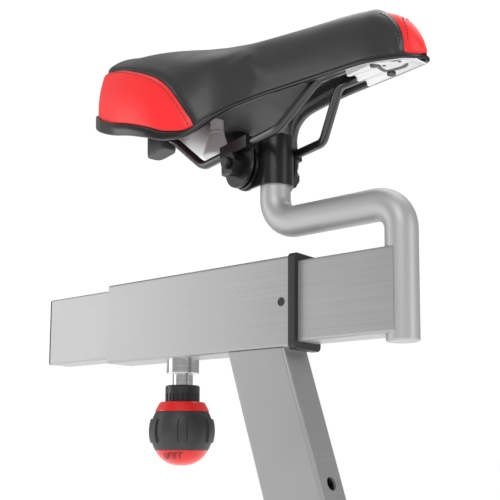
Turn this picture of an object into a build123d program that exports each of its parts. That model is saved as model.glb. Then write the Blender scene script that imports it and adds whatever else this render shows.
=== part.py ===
"""Seat assembly of an indoor spin bike.

A leaning seat post carries a welded sleeve. A rectangular slider runs fore and aft in the sleeve and is
held by a spring-loaded pull knob. A bent round tube on the slider's nose carries the saddle and its clamp.

Millimetres. +X is forward (towards the saddle's nose), +Y is the rider's left and +Z is up.
The origin is the centre of the seat post's lower end.
"""
from build123d import *
from math import cos, pi, radians, sin
import os

# ---------------------------------------------------------------- driving dimensions
# seat post: a rectangular tube that leans back as it rises
POST_DEPTH = 52.0
POST_WIDTH = 30.0
POST_WALL = 2.0
POST_CORNER = 2.5
POST_LEAN = 17.8            # degrees from vertical
POST_LENGTH = 260.0         # along its centreline, up to the sleeve's underside
HEIGHT_HOLE_D = 10.0
HEIGHT_HOLE_PITCH = 25.0
HEIGHT_HOLE_FIRST = 24.0    # lowest hole above the lower end
HEIGHT_HOLE_COUNT = 6

# sleeve welded on top of the post
SLEEVE_HEIGHT = 68.0
SLEEVE_WIDTH = 30.0
SLEEVE_WALL = 2.0
SLEEVE_CORNER = 2.5
SLEEVE_BEHIND = 163.6       # its rear end behind the post's centreline
SLEEVE_AHEAD = 32.5         # its front end ahead of the post's centreline
NUB_HOLE_D = 6.6
NUB_HOLE_BACK = 7.5         # behind the sleeve's front end

# slider: a rectangular tube inside the sleeve
SLIDER_HEIGHT = 60.0
SLIDER_WIDTH = 24.6
SLIDER_WALL = 2.0
SLIDER_CORNER = 2.0
SLIDER_BEHIND = 80.3        # its rear end behind the sleeve's rear end
SLIDER_GAP = 0.3            # running gap to the liners
PIN_HOLE_D = 9.0
PIN_HOLE_PITCH = 20.0
PIN_HOLE_PAIRS = 3          # holes each side of the pin's rest place

# liners pushed into both mouths of the sleeve
LINER_FIT = 0.05            # gap between a liner and the sleeve's wall
LINER_DEPTH = 40.0
FLANGE_THICK = 6.0
FLANGE_PROUD = 1.6
FLANGE_CORNER = 4.0

# round gooseneck tube
TUBE_D = 23.6
TUBE_WALL = 2.0
TUBE_BEND_R = 20.0
TUBE_AHEAD = 118.3          # upright leg's axis ahead of the post's centreline
NECK_AHEAD = 7.7            # neck's axis ahead of the post's centreline
TUBE_DROP = 5.1             # upright leg's foot below the slider's underside
RUN_RISE = 63.4             # level run's axis above the slider's axis
NECK_TOP = 127.0            # neck's top above the slider's axis
NECK_CAP_THICK = 3.0
FOOT_CAP_THICK = 3.0
WELD_SIZE = 1.6

# pull knob: everything is measured down from the sleeve's underside
KNOB_BEHIND = 88.0          # its axis behind the post's centreline
BOSS_D = 26.2
BOSS_HEIGHT = 12.4
BARREL_D = 16.4
BARREL_TOP = -1.5           # inside the sleeve's wall hole, above the underside
BARREL_LID = 6.5            # wall that guides the pin at the barrel's top
BARREL_BOTTOM = 38.0
THREAD_GAP = 0.08           # radial, barrel in boss
PIN_D = 8.0
STEM_D = 6.0                # pin below its shoulder
PIN_GAP = 0.08              # radial, pin in barrel
PIN_TIP_GAP = 0.3           # pin's tip below the slider's underside
SHOULDER_D = 11.6
SHOULDER_THICK = 3.0
SPRING_BORE_D = 12.6
SPRING_LENGTH = 20.0
SPRING_WIRE = 1.0
SPRING_TURNS = 8
COLLAR_TOP = 21.6
COLLAR_D = 27.8
COLLAR_HEIGHT = 13.6
COLLAR_SMOOTH = 6.5         # plain band above the flutes
COLLAR_FLUTES = 24
COLLAR_BORE_GAP = 0.4
CORE_D = 30.0
RING_TOP_D = 37.2
RING_D = 43.1
RING_HEIGHT = 7.6
GRIP_HEIGHT = 31.2
GRIP_D = 50.6
GRIP_END_D = 42.4
PAD_COUNT = 8
PAD_HEIGHT = 19.0
PAD_WIDTH = 12.5
PAD_PROUD = 1.5
KNOB_CAP_HEIGHT = 12.0
KNOB_CAP_FLAT_D = 9.0
KNOB_CAP_WALL = 2.5
KNOB_SCREW_HEAD_D = 10.0
KNOB_SCREW_HEAD_THICK = 3.0
KNOB_WEB = 24.0             # core material between barrel and screw head

# saddle clamp
STRAP_WALL = 2.0
STRAP_GAP = 0.08            # radial, strap on neck
STRAP_HEIGHT = 39.0
STRAP_TOP = 132.0           # above the slider's axis
BOLT_BACK = 18.4            # bolt axis behind the neck's axis
BOLT_RISE = 110.6           # bolt axis above the slider's axis
BOLT_D = 9.0
BOLT_GAP = 0.3              # radial, bolt in plates and ears
BOLT_REACH = 36.2           # each end from the middle plane
EAR_R = 18.0
SPACER_GAP = 0.4            # spacer on the bolt clear of the neck and of the strap's arms
SERRATION_COUNT = 36
SERRATION_DEPTH = 0.8
PLATE_R = 17.2
PLATE_LENGTH = 35.0
PLATE_THICK = 2.5
PLATE_GAP = 0.3
PLATE_TOP = 18.5            # top of the rail jaws above the bolt axis
JAW_FLOOR = 9.0             # underside of the rail jaws above the bolt axis
OUTER_DISC_Y = 20.0         # outer plate's inner face from the middle plane
OUTER_JAW_Y = 27.5
NUT_FLATS = 16.0
NUT_THICK = 7.5
WASHER_D = 17.4
WASHER_THICK = 1.8

# saddle
RAIL_D = 7.0
RAIL_SPREAD = 22.0          # rails from the middle plane at the clamp
RAIL_GAP = 0.06             # radial, rail in clamp groove
RAIL_OVER_BOLT = 13.6       # rail axis above the bolt axis
RAIL_BEND_R = 12.0
SADDLE_TILT = 1.5           # degrees, nose up
SADDLE_TURN = -14.0         # degrees about the neck, nose towards the rider's right
COVER_THICK = 1.2
SOFT_GAP = 0.3
BASE_THICK = 2.5
LIP_THICK = 2.6
SOCKET_WIDTH = 17.0
SOCKET_WIDTH = 15.0
SOCKET_FRONT = -74.0        # rail sockets' front end ahead of the bolt axis
SOCKET_REAR = -104.0
SOCKET_WALL = 3.0           # under the rail
BOSS_AHEAD = -62.0          # cone boss under the shell, ahead of the bolt axis
BOSS_FOOT = 29.0            # above the bolt axis
BOSS_FOOT_R = 11.5
BOSS_CONE = 21.0            # its height, tapering by BOSS_TAPER degrees
BOSS_TAPER = 13.0
BOSS_TOP = 64.0             # in the shell's thickness
LOBE_AHEAD = -90.0          # rounded cross bar under the shell, ahead of the bolt axis
LOBE_UP = 56.0
LOBE_R = 15.0
LOBE_HALF = 20.0
LOBE_ROUND = 8.0
NOSE_PLATE_THICK = 1.5
NOSE_PLATE_REAR = 108.0     # nose plate's rear edge ahead of the bolt axis
NOSE_PLATE_TIP = 168.0
NOSE_SCREW_AHEAD = 149.0
NOSE_SCREW_SIDE = -5.0
NOSE_SCREW_HEAD_D = 6.0
TAIL_CAP = 1.6              # foam ends this far inside the cover's tail and nose
# stations along the saddle, from the tail to the nose, measured from the bolt axis:
# ahead, half width, rim height, lip height, height of the shell's underside in the middle, crown height
SADDLE_STATIONS = (
    (-150.0, 48.0, 76.0, 8.0, 88.0, 130.0),
    (-146.0, 61.0, 70.0, 10.0, 86.0, 138.0),
    (-136.0, 72.5, 60.0, 11.0, 82.0, 139.0),
    (-118.0, 78.5, 50.5, 11.0, 76.0, 135.0),
    (-96.0, 80.0, 41.5, 10.0, 70.0, 130.0),
    (-76.0, 78.0, 35.5, 9.0, 66.0, 126.0),
    (-56.0, 73.5, 28.5, 8.0, 62.0, 120.0),
    (-38.0, 66.0, 22.5, 6.0, 59.0, 114.5),
    (-28.0, 60.5, 22.0, 4.5, 58.0, 112.0),
    (-20.0, 54.5, 25.0, 3.6, 57.5, 110.0),
    (-5.0, 41.0, 37.0, 2.6, 58.0, 107.0),
    (10.0, 33.0, 42.0, 2.2, 59.5, 103.5),
    (27.0, 27.5, 43.3, 2.0, 60.0, 100.5),
    (50.0, 24.0, 42.0, 2.0, 59.0, 96.0),
    (80.0, 20.5, 39.3, 2.2, 57.0, 90.0),
    (110.0, 18.0, 36.0, 2.6, 53.5, 84.0),
    (135.0, 16.0, 33.0, 3.0, 48.0, 77.0),
    (152.0, 12.5, 30.0, 3.4, 42.0, 67.0),
    (164.0, 9.5, 27.5, 3.4, 37.5, 55.5),
    (171.0, 6.5, 25.5, 3.2, 33.0, 44.5),
    (175.5, 4.2, 24.5, 3.0, 29.5, 36.0),
)
SECTION_CURVE = 0.78        # squareness of the upholstered section
SHELL_CURVE = 0.55          # squareness of the base shell's arch
# seams in side view, ahead of and above the bolt axis
REAR_SEAM = (
    (-165.0, 124.0), (-146.0, 122.0), (-120.0, 113.0), (-95.0, 101.0), (-72.0, 90.0), (-55.0, 80.0),
    (-41.5, 68.0), (-31.0, 55.0), (-23.0, 42.0), (-18.5, 28.0), (-17.0, 10.0),
)
NOSE_SEAM = ((139.0, 95.0), (143.6, 73.0), (150.4, 65.0), (155.5, 57.0), (159.0, 48.0), (161.0, 20.0))

# ---------------------------------------------------------------- places worked out from them
lean = radians(POST_LEAN)
sleeve_bottom = POST_LENGTH * cos(lean)
axis_z = sleeve_bottom + SLEEVE_HEIGHT / 2            # the slider's axis
cross_x = -POST_LENGTH * sin(lean)                    # post's centreline at the sleeve's underside
sleeve_rear = cross_x - SLEEVE_BEHIND
sleeve_front = cross_x + SLEEVE_AHEAD
slider_rear = sleeve_rear - SLIDER_BEHIND
slider_bottom = axis_z - SLIDER_HEIGHT / 2
tube_x = cross_x + TUBE_AHEAD
neck_x = cross_x + NECK_AHEAD
knob_x = cross_x - KNOB_BEHIND
tube_foot = slider_bottom - TUBE_DROP
run_z = axis_z + RUN_RISE
neck_top = axis_z + NECK_TOP
bolt_x = neck_x - BOLT_BACK
bolt_z = axis_z + BOLT_RISE

os.makedirs("parts", exist_ok=True)


def save(part, name):
    """Labels a finished piece and writes it."""
    part.label = name
    export_step(part, f"parts/{name}.step")


def save_turned(part, name):
    """Turns a finished piece of the saddle about the neck, then writes it."""
    save(part.rotate(Axis((neck_x, 0, 0), (0, 0, 1)), SADDLE_TURN), name)


def down(depth):
    """Height of a level that lies `depth` below the sleeve's underside."""
    return sleeve_bottom - depth


# ---------------------------------------------------------------- post and sleeve
post_axis = Vector(-sin(lean), 0, cos(lean))
post_front = Vector(cos(lean), 0, sin(lean))
post_plane = Plane(origin=(0, 0, 0), x_dir=post_front, z_dir=post_axis)

with BuildPart() as seat_post:
    with BuildSketch(post_plane):
        RectangleRounded(POST_DEPTH, POST_WIDTH, POST_CORNER)
        RectangleRounded(
            POST_DEPTH - 2 * POST_WALL, POST_WIDTH - 2 * POST_WALL, POST_CORNER - POST_WALL / 2,
            mode=Mode.SUBTRACT,
        )
    extrude(amount=POST_LENGTH + POST_DEPTH)
    split(bisect_by=Plane.XY.offset(sleeve_bottom), keep=Keep.BOTTOM)
    hole_start = post_front * (POST_DEPTH / 2 - 2 * POST_WALL)
    for number in range(HEIGHT_HOLE_COUNT):
        hole_origin = hole_start + post_axis * (HEIGHT_HOLE_FIRST + number * HEIGHT_HOLE_PITCH)
        with BuildSketch(Plane(origin=hole_origin, z_dir=post_front)):
            Circle(HEIGHT_HOLE_D / 2)
        extrude(amount=4 * POST_WALL, mode=Mode.SUBTRACT)
save(seat_post.part, "seat_post")

with BuildPart() as post_end_plug:
    with BuildSketch(post_plane):
        RectangleRounded(POST_DEPTH, POST_WIDTH, POST_CORNER)
    extrude(amount=-POST_WALL)
    plug_depth = POST_DEPTH - 2 * POST_WALL - 2 * LINER_FIT
    plug_width = POST_WIDTH - 2 * POST_WALL - 2 * LINER_FIT
    with BuildSketch(post_plane):
        RectangleRounded(plug_depth, plug_width, POST_CORNER - POST_WALL / 2)
        Rectangle(plug_depth - 4 * POST_WALL, plug_width - 4 * POST_WALL, mode=Mode.SUBTRACT)
    extrude(amount=HEIGHT_HOLE_FIRST - HEIGHT_HOLE_D)
save(post_end_plug.part, "post_end_plug")

sleeve_plane = Plane(origin=(sleeve_rear, 0, axis_z), x_dir=(0, 1, 0), z_dir=(1, 0, 0))
sleeve_length = sleeve_front - sleeve_rear
sleeve_in_w = SLEEVE_WIDTH - 2 * SLEEVE_WALL
sleeve_in_h = SLEEVE_HEIGHT - 2 * SLEEVE_WALL
knob_plane = Plane(origin=(knob_x, 0, sleeve_bottom))

with BuildPart() as slider_sleeve:
    with BuildSketch(sleeve_plane):
        RectangleRounded(SLEEVE_WIDTH, SLEEVE_HEIGHT, SLEEVE_CORNER)
        RectangleRounded(sleeve_in_w, sleeve_in_h, SLEEVE_CORNER - SLEEVE_WALL / 2, mode=Mode.SUBTRACT)
    extrude(amount=sleeve_length)
    with BuildSketch(Plane.XZ.offset(-SLEEVE_WIDTH)):
        with Locations((sleeve_front - NUB_HOLE_BACK, axis_z)):
            Circle(NUB_HOLE_D / 2)
    extrude(amount=2 * SLEEVE_WIDTH, mode=Mode.SUBTRACT)
    with BuildSketch(knob_plane.offset(-SLEEVE_WALL)):
        Circle(BARREL_D / 2 + THREAD_GAP)
    extrude(amount=3 * SLEEVE_WALL, mode=Mode.SUBTRACT)
save(slider_sleeve.part, "slider_sleeve")

liner_w = sleeve_in_w - 2 * LINER_FIT
liner_h = sleeve_in_h - 2 * LINER_FIT
liner_bore_w = SLIDER_WIDTH + 2 * SLIDER_GAP
liner_bore_h = SLIDER_HEIGHT + 2 * SLIDER_GAP
front_plane = Plane(origin=(sleeve_front, 0, axis_z), x_dir=(0, 1, 0), z_dir=(1, 0, 0))

with BuildPart() as front_liner:
    with BuildSketch(front_plane):
        RectangleRounded(
            SLEEVE_WIDTH + 2 * FLANGE_PROUD, SLEEVE_HEIGHT + 2 * FLANGE_PROUD, FLANGE_CORNER
        )
    extrude(amount=FLANGE_THICK)
    fillet(front_liner.edges().filter_by(GeomType.LINE).group_by(Axis.X)[-1], FLANGE_PROUD / 2)
    with BuildSketch(front_plane):
        RectangleRounded(liner_w, liner_h, SLEEVE_CORNER - SLEEVE_WALL / 2)
    extrude(amount=-LINER_DEPTH)
    with BuildSketch(Plane.XZ.offset(-SLEEVE_WIDTH / 2 + SLEEVE_WALL / 4)):
        with Locations((sleeve_front - NUB_HOLE_BACK, axis_z)):
            Circle(NUB_HOLE_D / 2 - LINER_FIT)
    extrude(amount=SLEEVE_WIDTH - SLEEVE_WALL / 2)
    with BuildSketch(front_plane.offset(-2 * LINER_DEPTH)):
        RectangleRounded(liner_bore_w, liner_bore_h, SLIDER_CORNER)
    extrude(amount=4 * LINER_DEPTH, mode=Mode.SUBTRACT)
save(front_liner.part, "front_liner")

with BuildPart() as rear_liner:
    with BuildSketch(sleeve_plane):
        RectangleRounded(liner_w, liner_h, SLEEVE_CORNER - SLEEVE_WALL / 2)
        RectangleRounded(liner_bore_w, liner_bore_h, SLIDER_CORNER, mode=Mode.SUBTRACT)
    extrude(amount=LINER_DEPTH)
save(rear_liner.part, "rear_liner")

with BuildPart() as knob_boss:
    with BuildSketch(knob_plane):
        Circle(BOSS_D / 2)
    extrude(amount=-BOSS_HEIGHT)
    fillet(knob_boss.edges().group_by(Axis.Z)[0], 1.0)
    with BuildSketch(knob_plane):
        Circle(BARREL_D / 2 + THREAD_GAP)
    extrude(amount=-2 * BOSS_HEIGHT, mode=Mode.SUBTRACT)
save(knob_boss.part, "knob_boss")

# ---------------------------------------------------------------- slider and gooseneck
slider_plane = Plane(origin=(slider_rear, 0, axis_z), x_dir=(0, 1, 0), z_dir=(1, 0, 0))
slider_length = tube_x - slider_rear

with BuildPart() as slider_tube:
    with BuildSketch(slider_plane):
        RectangleRounded(SLIDER_WIDTH, SLIDER_HEIGHT, SLIDER_CORNER)
        RectangleRounded(
            SLIDER_WIDTH - 2 * SLIDER_WALL, SLIDER_HEIGHT - 2 * SLIDER_WALL,
            SLIDER_CORNER - SLIDER_WALL / 2, mode=Mode.SUBTRACT,
        )
    extrude(amount=slider_length)
    with BuildSketch(Plane(origin=(tube_x, 0, 0))):
        Circle(TUBE_D / 2)
    extrude(amount=neck_top, mode=Mode.SUBTRACT)
    first_hole = knob_x - (PIN_HOLE_PAIRS - 0.5) * PIN_HOLE_PITCH
    with BuildSketch(Plane.XY.offset(slider_bottom - SLIDER_WALL)):
        for number in range(2 * PIN_HOLE_PAIRS):
            with Locations((first_hole + number * PIN_HOLE_PITCH, 0)):
                Circle(PIN_HOLE_D / 2)
    extrude(amount=3 * SLIDER_WALL, mode=Mode.SUBTRACT)
# the round cutter leaves slivers of the side walls in front of the tube's axis plane
slider_solid = slider_tube.part.solids().sort_by(SortBy.VOLUME)[-1]
save(Part(slider_solid.wrapped), "slider_tube")

with BuildPart() as slider_end_plug:
    with BuildSketch(slider_plane):
        RectangleRounded(SLIDER_WIDTH - 0.4, SLIDER_HEIGHT - 0.4, SLIDER_CORNER)
    extrude(amount=-SLIDER_WALL)
    plug_w = SLIDER_WIDTH - 2 * SLIDER_WALL - 2 * LINER_FIT
    plug_h = SLIDER_HEIGHT - 2 * SLIDER_WALL - 2 * LINER_FIT
    with BuildSketch(slider_plane):
        RectangleRounded(plug_w, plug_h, SLIDER_CORNER - SLIDER_WALL / 2)
        Rectangle(plug_w - 4 * SLIDER_WALL, plug_h - 4 * SLIDER_WALL, mode=Mode.SUBTRACT)
    extrude(amount=LINER_DEPTH / 3)
save(slider_end_plug.part, "slider_end_plug")

with BuildPart() as gooseneck:
    with BuildLine(Plane.XZ) as neck_line:
        FilletPolyline(
            (tube_x, tube_foot + FOOT_CAP_THICK), (tube_x, run_z), (neck_x, run_z), (neck_x, neck_top),
            radius=TUBE_BEND_R,
        )
    with BuildSketch(Plane.XY.offset(tube_foot + FOOT_CAP_THICK)):
        with Locations((tube_x, 0)):
            Circle(TUBE_D / 2)
            Circle(TUBE_D / 2 - TUBE_WALL, mode=Mode.SUBTRACT)
    sweep(path=neck_line.wires()[0])
save(gooseneck.part, "gooseneck")

with BuildPart() as tube_foot_cap:
    with BuildSketch(Plane.XY.offset(tube_foot)):
        with Locations((tube_x, 0)):
            Circle(TUBE_D / 2)
    extrude(amount=FOOT_CAP_THICK)
    fillet(tube_foot_cap.edges().group_by(Axis.Z)[0], 1.2)
save(tube_foot_cap.part, "tube_foot_cap")

with BuildPart() as neck_cap:
    with BuildSketch(Plane.XY.offset(neck_top)):
        with Locations((neck_x, 0)):
            Circle(TUBE_D / 2)
    extrude(amount=NECK_CAP_THICK)
    fillet(neck_cap.edges().group_by(Axis.Z)[-1], 1.0)
    with BuildSketch(Plane.XY.offset(neck_top)):
        with Locations((neck_x, 0)):
            Circle(TUBE_D / 2 - TUBE_WALL - LINER_FIT)
            Circle(TUBE_D / 2 - 2 * TUBE_WALL, mode=Mode.SUBTRACT)
    extrude(amount=-LINER_DEPTH / 4)
save(neck_cap.part, "neck_cap")

# fillet welds run up both corners between the slider's sides and the round tube
with BuildPart() as tube_welds:
    with BuildSketch(Plane.XY.offset(slider_bottom + SLIDER_CORNER)):
        for side in (-1, 1):
            with BuildLine():
                Polyline(
                    (tube_x - TUBE_D / 2 - WELD_SIZE, side * SLIDER_WIDTH / 2),
                    (tube_x - TUBE_D / 2 + 2 * WELD_SIZE, side * (SLIDER_WIDTH / 2 + WELD_SIZE / 4)),
                    (tube_x - TUBE_D / 2 + 2 * WELD_SIZE, side * SLIDER_WIDTH / 4),
                    (tube_x - TUBE_D / 2 - WELD_SIZE, side * SLIDER_WIDTH / 2),
                )
            make_face()
    extrude(amount=SLIDER_HEIGHT - 2 * SLIDER_CORNER)
    add(slider_solid, mode=Mode.SUBTRACT)
    with BuildSketch(Plane(origin=(tube_x, 0, 0))):
        Circle(TUBE_D / 2)
    extrude(amount=neck_top, mode=Mode.SUBTRACT)
# the two long beads, without the slivers left in front of the tube
welds = tube_welds.part.solids().sort_by(SortBy.VOLUME)[-2:]
save(Compound(children=list(welds)), "tube_welds")

# ---------------------------------------------------------------- pull knob
thread_r = BARREL_D / 2
barrel_plane = knob_plane.offset(-BARREL_TOP)
shoulder_top = BARREL_LID + SOFT_GAP
spring_top = shoulder_top + SHOULDER_THICK
spring_foot = spring_top + SPRING_LENGTH

with BuildPart() as plunger_barrel:
    with BuildSketch(barrel_plane):
        Circle(thread_r)
        Circle(PIN_D / 2 + PIN_GAP, mode=Mode.SUBTRACT)
    extrude(amount=BARREL_TOP - BARREL_BOTTOM)
    chamfer(plunger_barrel.edges().group_by(Axis.Z)[0].sort_by(SortBy.LENGTH)[-1], 0.8)
    with BuildSketch(knob_plane.offset(-BARREL_LID)):
        Circle(SPRING_BORE_D / 2)
    extrude(amount=BARREL_LID - BARREL_BOTTOM, mode=Mode.SUBTRACT)
save(plunger_barrel.part, "plunger_barrel")

with BuildPart() as barrel_bush:
    with BuildSketch(knob_plane.offset(-spring_foot)):
        Circle(SPRING_BORE_D / 2 - LINER_FIT)
        Circle(STEM_D / 2 + PIN_GAP, mode=Mode.SUBTRACT)
    extrude(amount=spring_foot - BARREL_BOTTOM)
save(barrel_bush.part, "barrel_bush")

collar_bottom = COLLAR_TOP + COLLAR_HEIGHT
ring_bottom = collar_bottom + RING_HEIGHT
grip_bottom = ring_bottom + GRIP_HEIGHT
knob_bottom = grip_bottom + KNOB_CAP_HEIGHT
barrel_room = BARREL_BOTTOM + COLLAR_BORE_GAP
web_bottom = barrel_room + KNOB_WEB
pin_tip = slider_bottom - PIN_TIP_GAP

with BuildPart() as plunger_pin:
    with BuildSketch(Plane.XY.offset(pin_tip)):
        with Locations((knob_x, 0)):
            Circle(PIN_D / 2)
    extrude(amount=down(shoulder_top) - pin_tip)
    chamfer(plunger_pin.edges().group_by(Axis.Z)[-1], 0.8)
    with BuildSketch(knob_plane.offset(-shoulder_top)):
        Circle(SHOULDER_D / 2)
    extrude(amount=-SHOULDER_THICK)
    with BuildSketch(knob_plane.offset(-spring_top)):
        Circle(STEM_D / 2)
    extrude(amount=spring_top - web_bottom - PIN_TIP_GAP)
save(plunger_pin.part, "plunger_pin")

with BuildPart() as knob_screw:
    with BuildSketch(knob_plane.offset(-web_bottom - PIN_TIP_GAP)):
        Circle(KNOB_SCREW_HEAD_D / 2)
    extrude(amount=-KNOB_SCREW_HEAD_THICK)
    with BuildSketch(knob_plane.offset(-web_bottom - PIN_TIP_GAP - KNOB_SCREW_HEAD_THICK)):
        RegularPolygon(KNOB_SCREW_HEAD_D / 4, 6)
    extrude(amount=KNOB_SCREW_HEAD_THICK / 2, mode=Mode.SUBTRACT)
save(knob_screw.part, "knob_screw")

coil_r = (SPRING_BORE_D + STEM_D) / 4
with BuildPart() as plunger_spring:
    with BuildLine(knob_plane.offset(-spring_foot + SPRING_WIRE / 2 + LINER_FIT)) as coil:
        Helix(
            pitch=(SPRING_LENGTH - SPRING_WIRE - 2 * LINER_FIT) / SPRING_TURNS,
            height=SPRING_LENGTH - SPRING_WIRE - 2 * LINER_FIT, radius=coil_r,
        )
    with BuildSketch(Plane(origin=coil.line @ 0, z_dir=coil.line % 0)):
        Circle(SPRING_WIRE / 2)
    sweep(path=coil.line, is_frenet=True)
save(plunger_spring.part, "plunger_spring")

with BuildPart() as knob_collar:
    with BuildSketch(knob_plane.offset(-COLLAR_TOP)):
        Circle(COLLAR_D / 2)
    extrude(amount=-COLLAR_HEIGHT)
    chamfer(knob_collar.edges().group_by(Axis.Z)[-1], 1.0)
    flute_r = COLLAR_D * pi / COLLAR_FLUTES / 4
    with BuildSketch(knob_plane.offset(-COLLAR_TOP - COLLAR_SMOOTH)):
        with PolarLocations(COLLAR_D / 2, COLLAR_FLUTES):
            Circle(flute_r)
    extrude(amount=COLLAR_SMOOTH - COLLAR_HEIGHT, mode=Mode.SUBTRACT)
    with BuildSketch(knob_plane.offset(-COLLAR_TOP)):
        Circle(thread_r + COLLAR_BORE_GAP)
    extrude(amount=-COLLAR_HEIGHT, mode=Mode.SUBTRACT)
save(knob_collar.part, "knob_collar")

with BuildPart() as knob_core:
    with BuildSketch(knob_plane.offset(-collar_bottom)):
        Circle(CORE_D / 2)
    extrude(amount=collar_bottom - grip_bottom)
    with BuildSketch(knob_plane.offset(-collar_bottom)):
        Circle(thread_r + COLLAR_BORE_GAP)
    extrude(amount=collar_bottom - barrel_room, mode=Mode.SUBTRACT)
    with BuildSketch(knob_plane.offset(-collar_bottom)):
        Circle(STEM_D / 2 + PIN_GAP)
    extrude(amount=collar_bottom - grip_bottom, mode=Mode.SUBTRACT)
    with BuildSketch(knob_plane.offset(-web_bottom)):
        Circle(KNOB_SCREW_HEAD_D / 2 + 1)
    extrude(amount=web_bottom - grip_bottom, mode=Mode.SUBTRACT)
save(knob_core.part, "knob_core")

knob_section = Plane(origin=(knob_x, 0, sleeve_bottom), x_dir=(1, 0, 0), z_dir=(0, -1, 0))
knob_axis = Axis((knob_x, 0, 0), (0, 0, 1))

with BuildPart() as knob_ring:
    with BuildSketch(knob_section):
        with BuildLine():
            Polyline(
                (CORE_D / 2, -collar_bottom), (RING_TOP_D / 2 - 1, -collar_bottom),
                (RING_TOP_D / 2, -collar_bottom - 1), (RING_D / 2, -ring_bottom + 1),
                (RING_D / 2, -ring_bottom), (CORE_D / 2, -ring_bottom), close=True,
            )
        make_face()
    revolve(axis=knob_axis)
save(knob_ring.part, "knob_ring")


def grip_face(proud):
    """Half section of the grip: a cylinder bore and a bulging outside, `proud` of the plain rubber."""
    middle = -(ring_bottom + grip_bottom) / 2
    with BuildSketch(knob_section) as face:
        with BuildLine():
            Line((CORE_D / 2, -grip_bottom), (CORE_D / 2, -ring_bottom))
            Line((CORE_D / 2, -ring_bottom), (GRIP_END_D / 2 + proud, -ring_bottom))
            ThreePointArc(
                (GRIP_END_D / 2 + proud, -ring_bottom), (GRIP_D / 2 + proud, middle),
                (GRIP_END_D / 2 + proud, -grip_bottom),
            )
            Line((GRIP_END_D / 2 + proud, -grip_bottom), (CORE_D / 2, -grip_bottom))
        make_face()
    return face.sketch


pad_foot = (ring_bottom + grip_bottom + PAD_HEIGHT) / 2
with BuildPart() as grip_pads:
    add(grip_face(PAD_PROUD))
    revolve(axis=knob_axis)
    with BuildSketch(knob_plane.offset(-pad_foot)):
        with PolarLocations(GRIP_D / 2, PAD_COUNT, start_angle=180 / PAD_COUNT):
            Rectangle(GRIP_D / 2, PAD_WIDTH)
    extrude(amount=PAD_HEIGHT, mode=Mode.INTERSECT)

with BuildPart() as knob_grip:
    add(grip_face(0))
    revolve(axis=knob_axis)
    add(grip_pads.part)
save(knob_grip.part, "knob_grip")

with BuildPart() as knob_cap:
    with BuildSketch(knob_section):
        with BuildLine():
            flat_r, wall = KNOB_CAP_FLAT_D / 2, KNOB_CAP_WALL
            bulge = (GRIP_END_D / 2 * 0.72, -grip_bottom - KNOB_CAP_HEIGHT * 0.62)
            Line((0, -knob_bottom), (flat_r, -knob_bottom))
            ThreePointArc((flat_r, -knob_bottom), bulge, (GRIP_END_D / 2, -grip_bottom))
            Line((GRIP_END_D / 2, -grip_bottom), (GRIP_END_D / 2 - wall, -grip_bottom))
            ThreePointArc(
                (GRIP_END_D / 2 - wall, -grip_bottom), (bulge[0] - wall, bulge[1] + wall),
                (flat_r, -knob_bottom + wall),
            )
            Line((flat_r, -knob_bottom + wall), (0, -knob_bottom + wall))
            Line((0, -knob_bottom + wall), (0, -knob_bottom))
        make_face()
    revolve(axis=knob_axis)
save(knob_cap.part, "knob_cap")

# ---------------------------------------------------------------- saddle clamp
strap_bottom = axis_z + STRAP_TOP - STRAP_HEIGHT
strap_in = TUBE_D / 2 + STRAP_GAP
side_plane = Plane(origin=(0, 0, 0), x_dir=(1, 0, 0), z_dir=(0, -1, 0))
arm_outer = strap_in + STRAP_WALL
tooth_wide = 2 * pi * EAR_R / SERRATION_COUNT / 2

with BuildPart() as clamp_strap:
    with BuildSketch(Plane.XY.offset(strap_bottom)):
        with Locations((neck_x, 0)):
            Circle(arm_outer)
        with Locations((neck_x - arm_outer / 2, 0)):
            Rectangle(arm_outer, 2 * arm_outer)
        with Locations((neck_x, 0)):
            Circle(strap_in, mode=Mode.SUBTRACT)
        with Locations((neck_x - arm_outer, 0)):
            Rectangle(2 * arm_outer, 2 * strap_in, mode=Mode.SUBTRACT)
    extrude(amount=STRAP_HEIGHT)
    for side in (-1, 1):
        with BuildSketch(side_plane.offset(side * strap_in)):
            with Locations((bolt_x, bolt_z)):
                Circle(EAR_R)
            with Locations(((bolt_x + neck_x - EAR_R) / 2, bolt_z)):
                Rectangle(neck_x - EAR_R - bolt_x, 2 * EAR_R)
            with Locations((bolt_x, bolt_z)):
                Circle(BOLT_D / 2 + BOLT_GAP, mode=Mode.SUBTRACT)
        extrude(amount=side * STRAP_WALL)
        with BuildSketch(side_plane.offset(side * arm_outer)):
            with Locations((bolt_x, bolt_z)):
                with PolarLocations(EAR_R - 2 * SERRATION_DEPTH, SERRATION_COUNT):
                    Rectangle(3 * SERRATION_DEPTH, tooth_wide)
        extrude(amount=side * SERRATION_DEPTH)
save_turned(clamp_strap.part, "clamp_strap")

with BuildPart() as clamp_spacer:
    with BuildSketch(side_plane.offset(-strap_in + SPACER_GAP)):
        with Locations((bolt_x, bolt_z)):
            Circle(BOLT_BACK - TUBE_D / 2 - SPACER_GAP)
            Circle(BOLT_D / 2 + BOLT_GAP, mode=Mode.SUBTRACT)
    extrude(amount=2 * (strap_in - SPACER_GAP))
save_turned(clamp_spacer.part, "clamp_spacer")

tilt = radians(SADDLE_TILT)
along = Vector(cos(tilt), 0, sin(tilt))
rise = Vector(-sin(tilt), 0, cos(tilt))
bolt_point = Vector(bolt_x, 0, bolt_z)
jaw_plane = Plane(origin=bolt_point - along * (PLATE_LENGTH / 2), x_dir=(0, 1, 0), z_dir=along)
inner_y = arm_outer + SERRATION_DEPTH + PLATE_GAP
outer_y = OUTER_DISC_Y + PLATE_THICK
groove_r = RAIL_D / 2 + RAIL_GAP
jaw_split = RAIL_SPREAD - PLATE_GAP / 2
step = JAW_FLOOR + 1.2 * PLATE_GAP + 1


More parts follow.
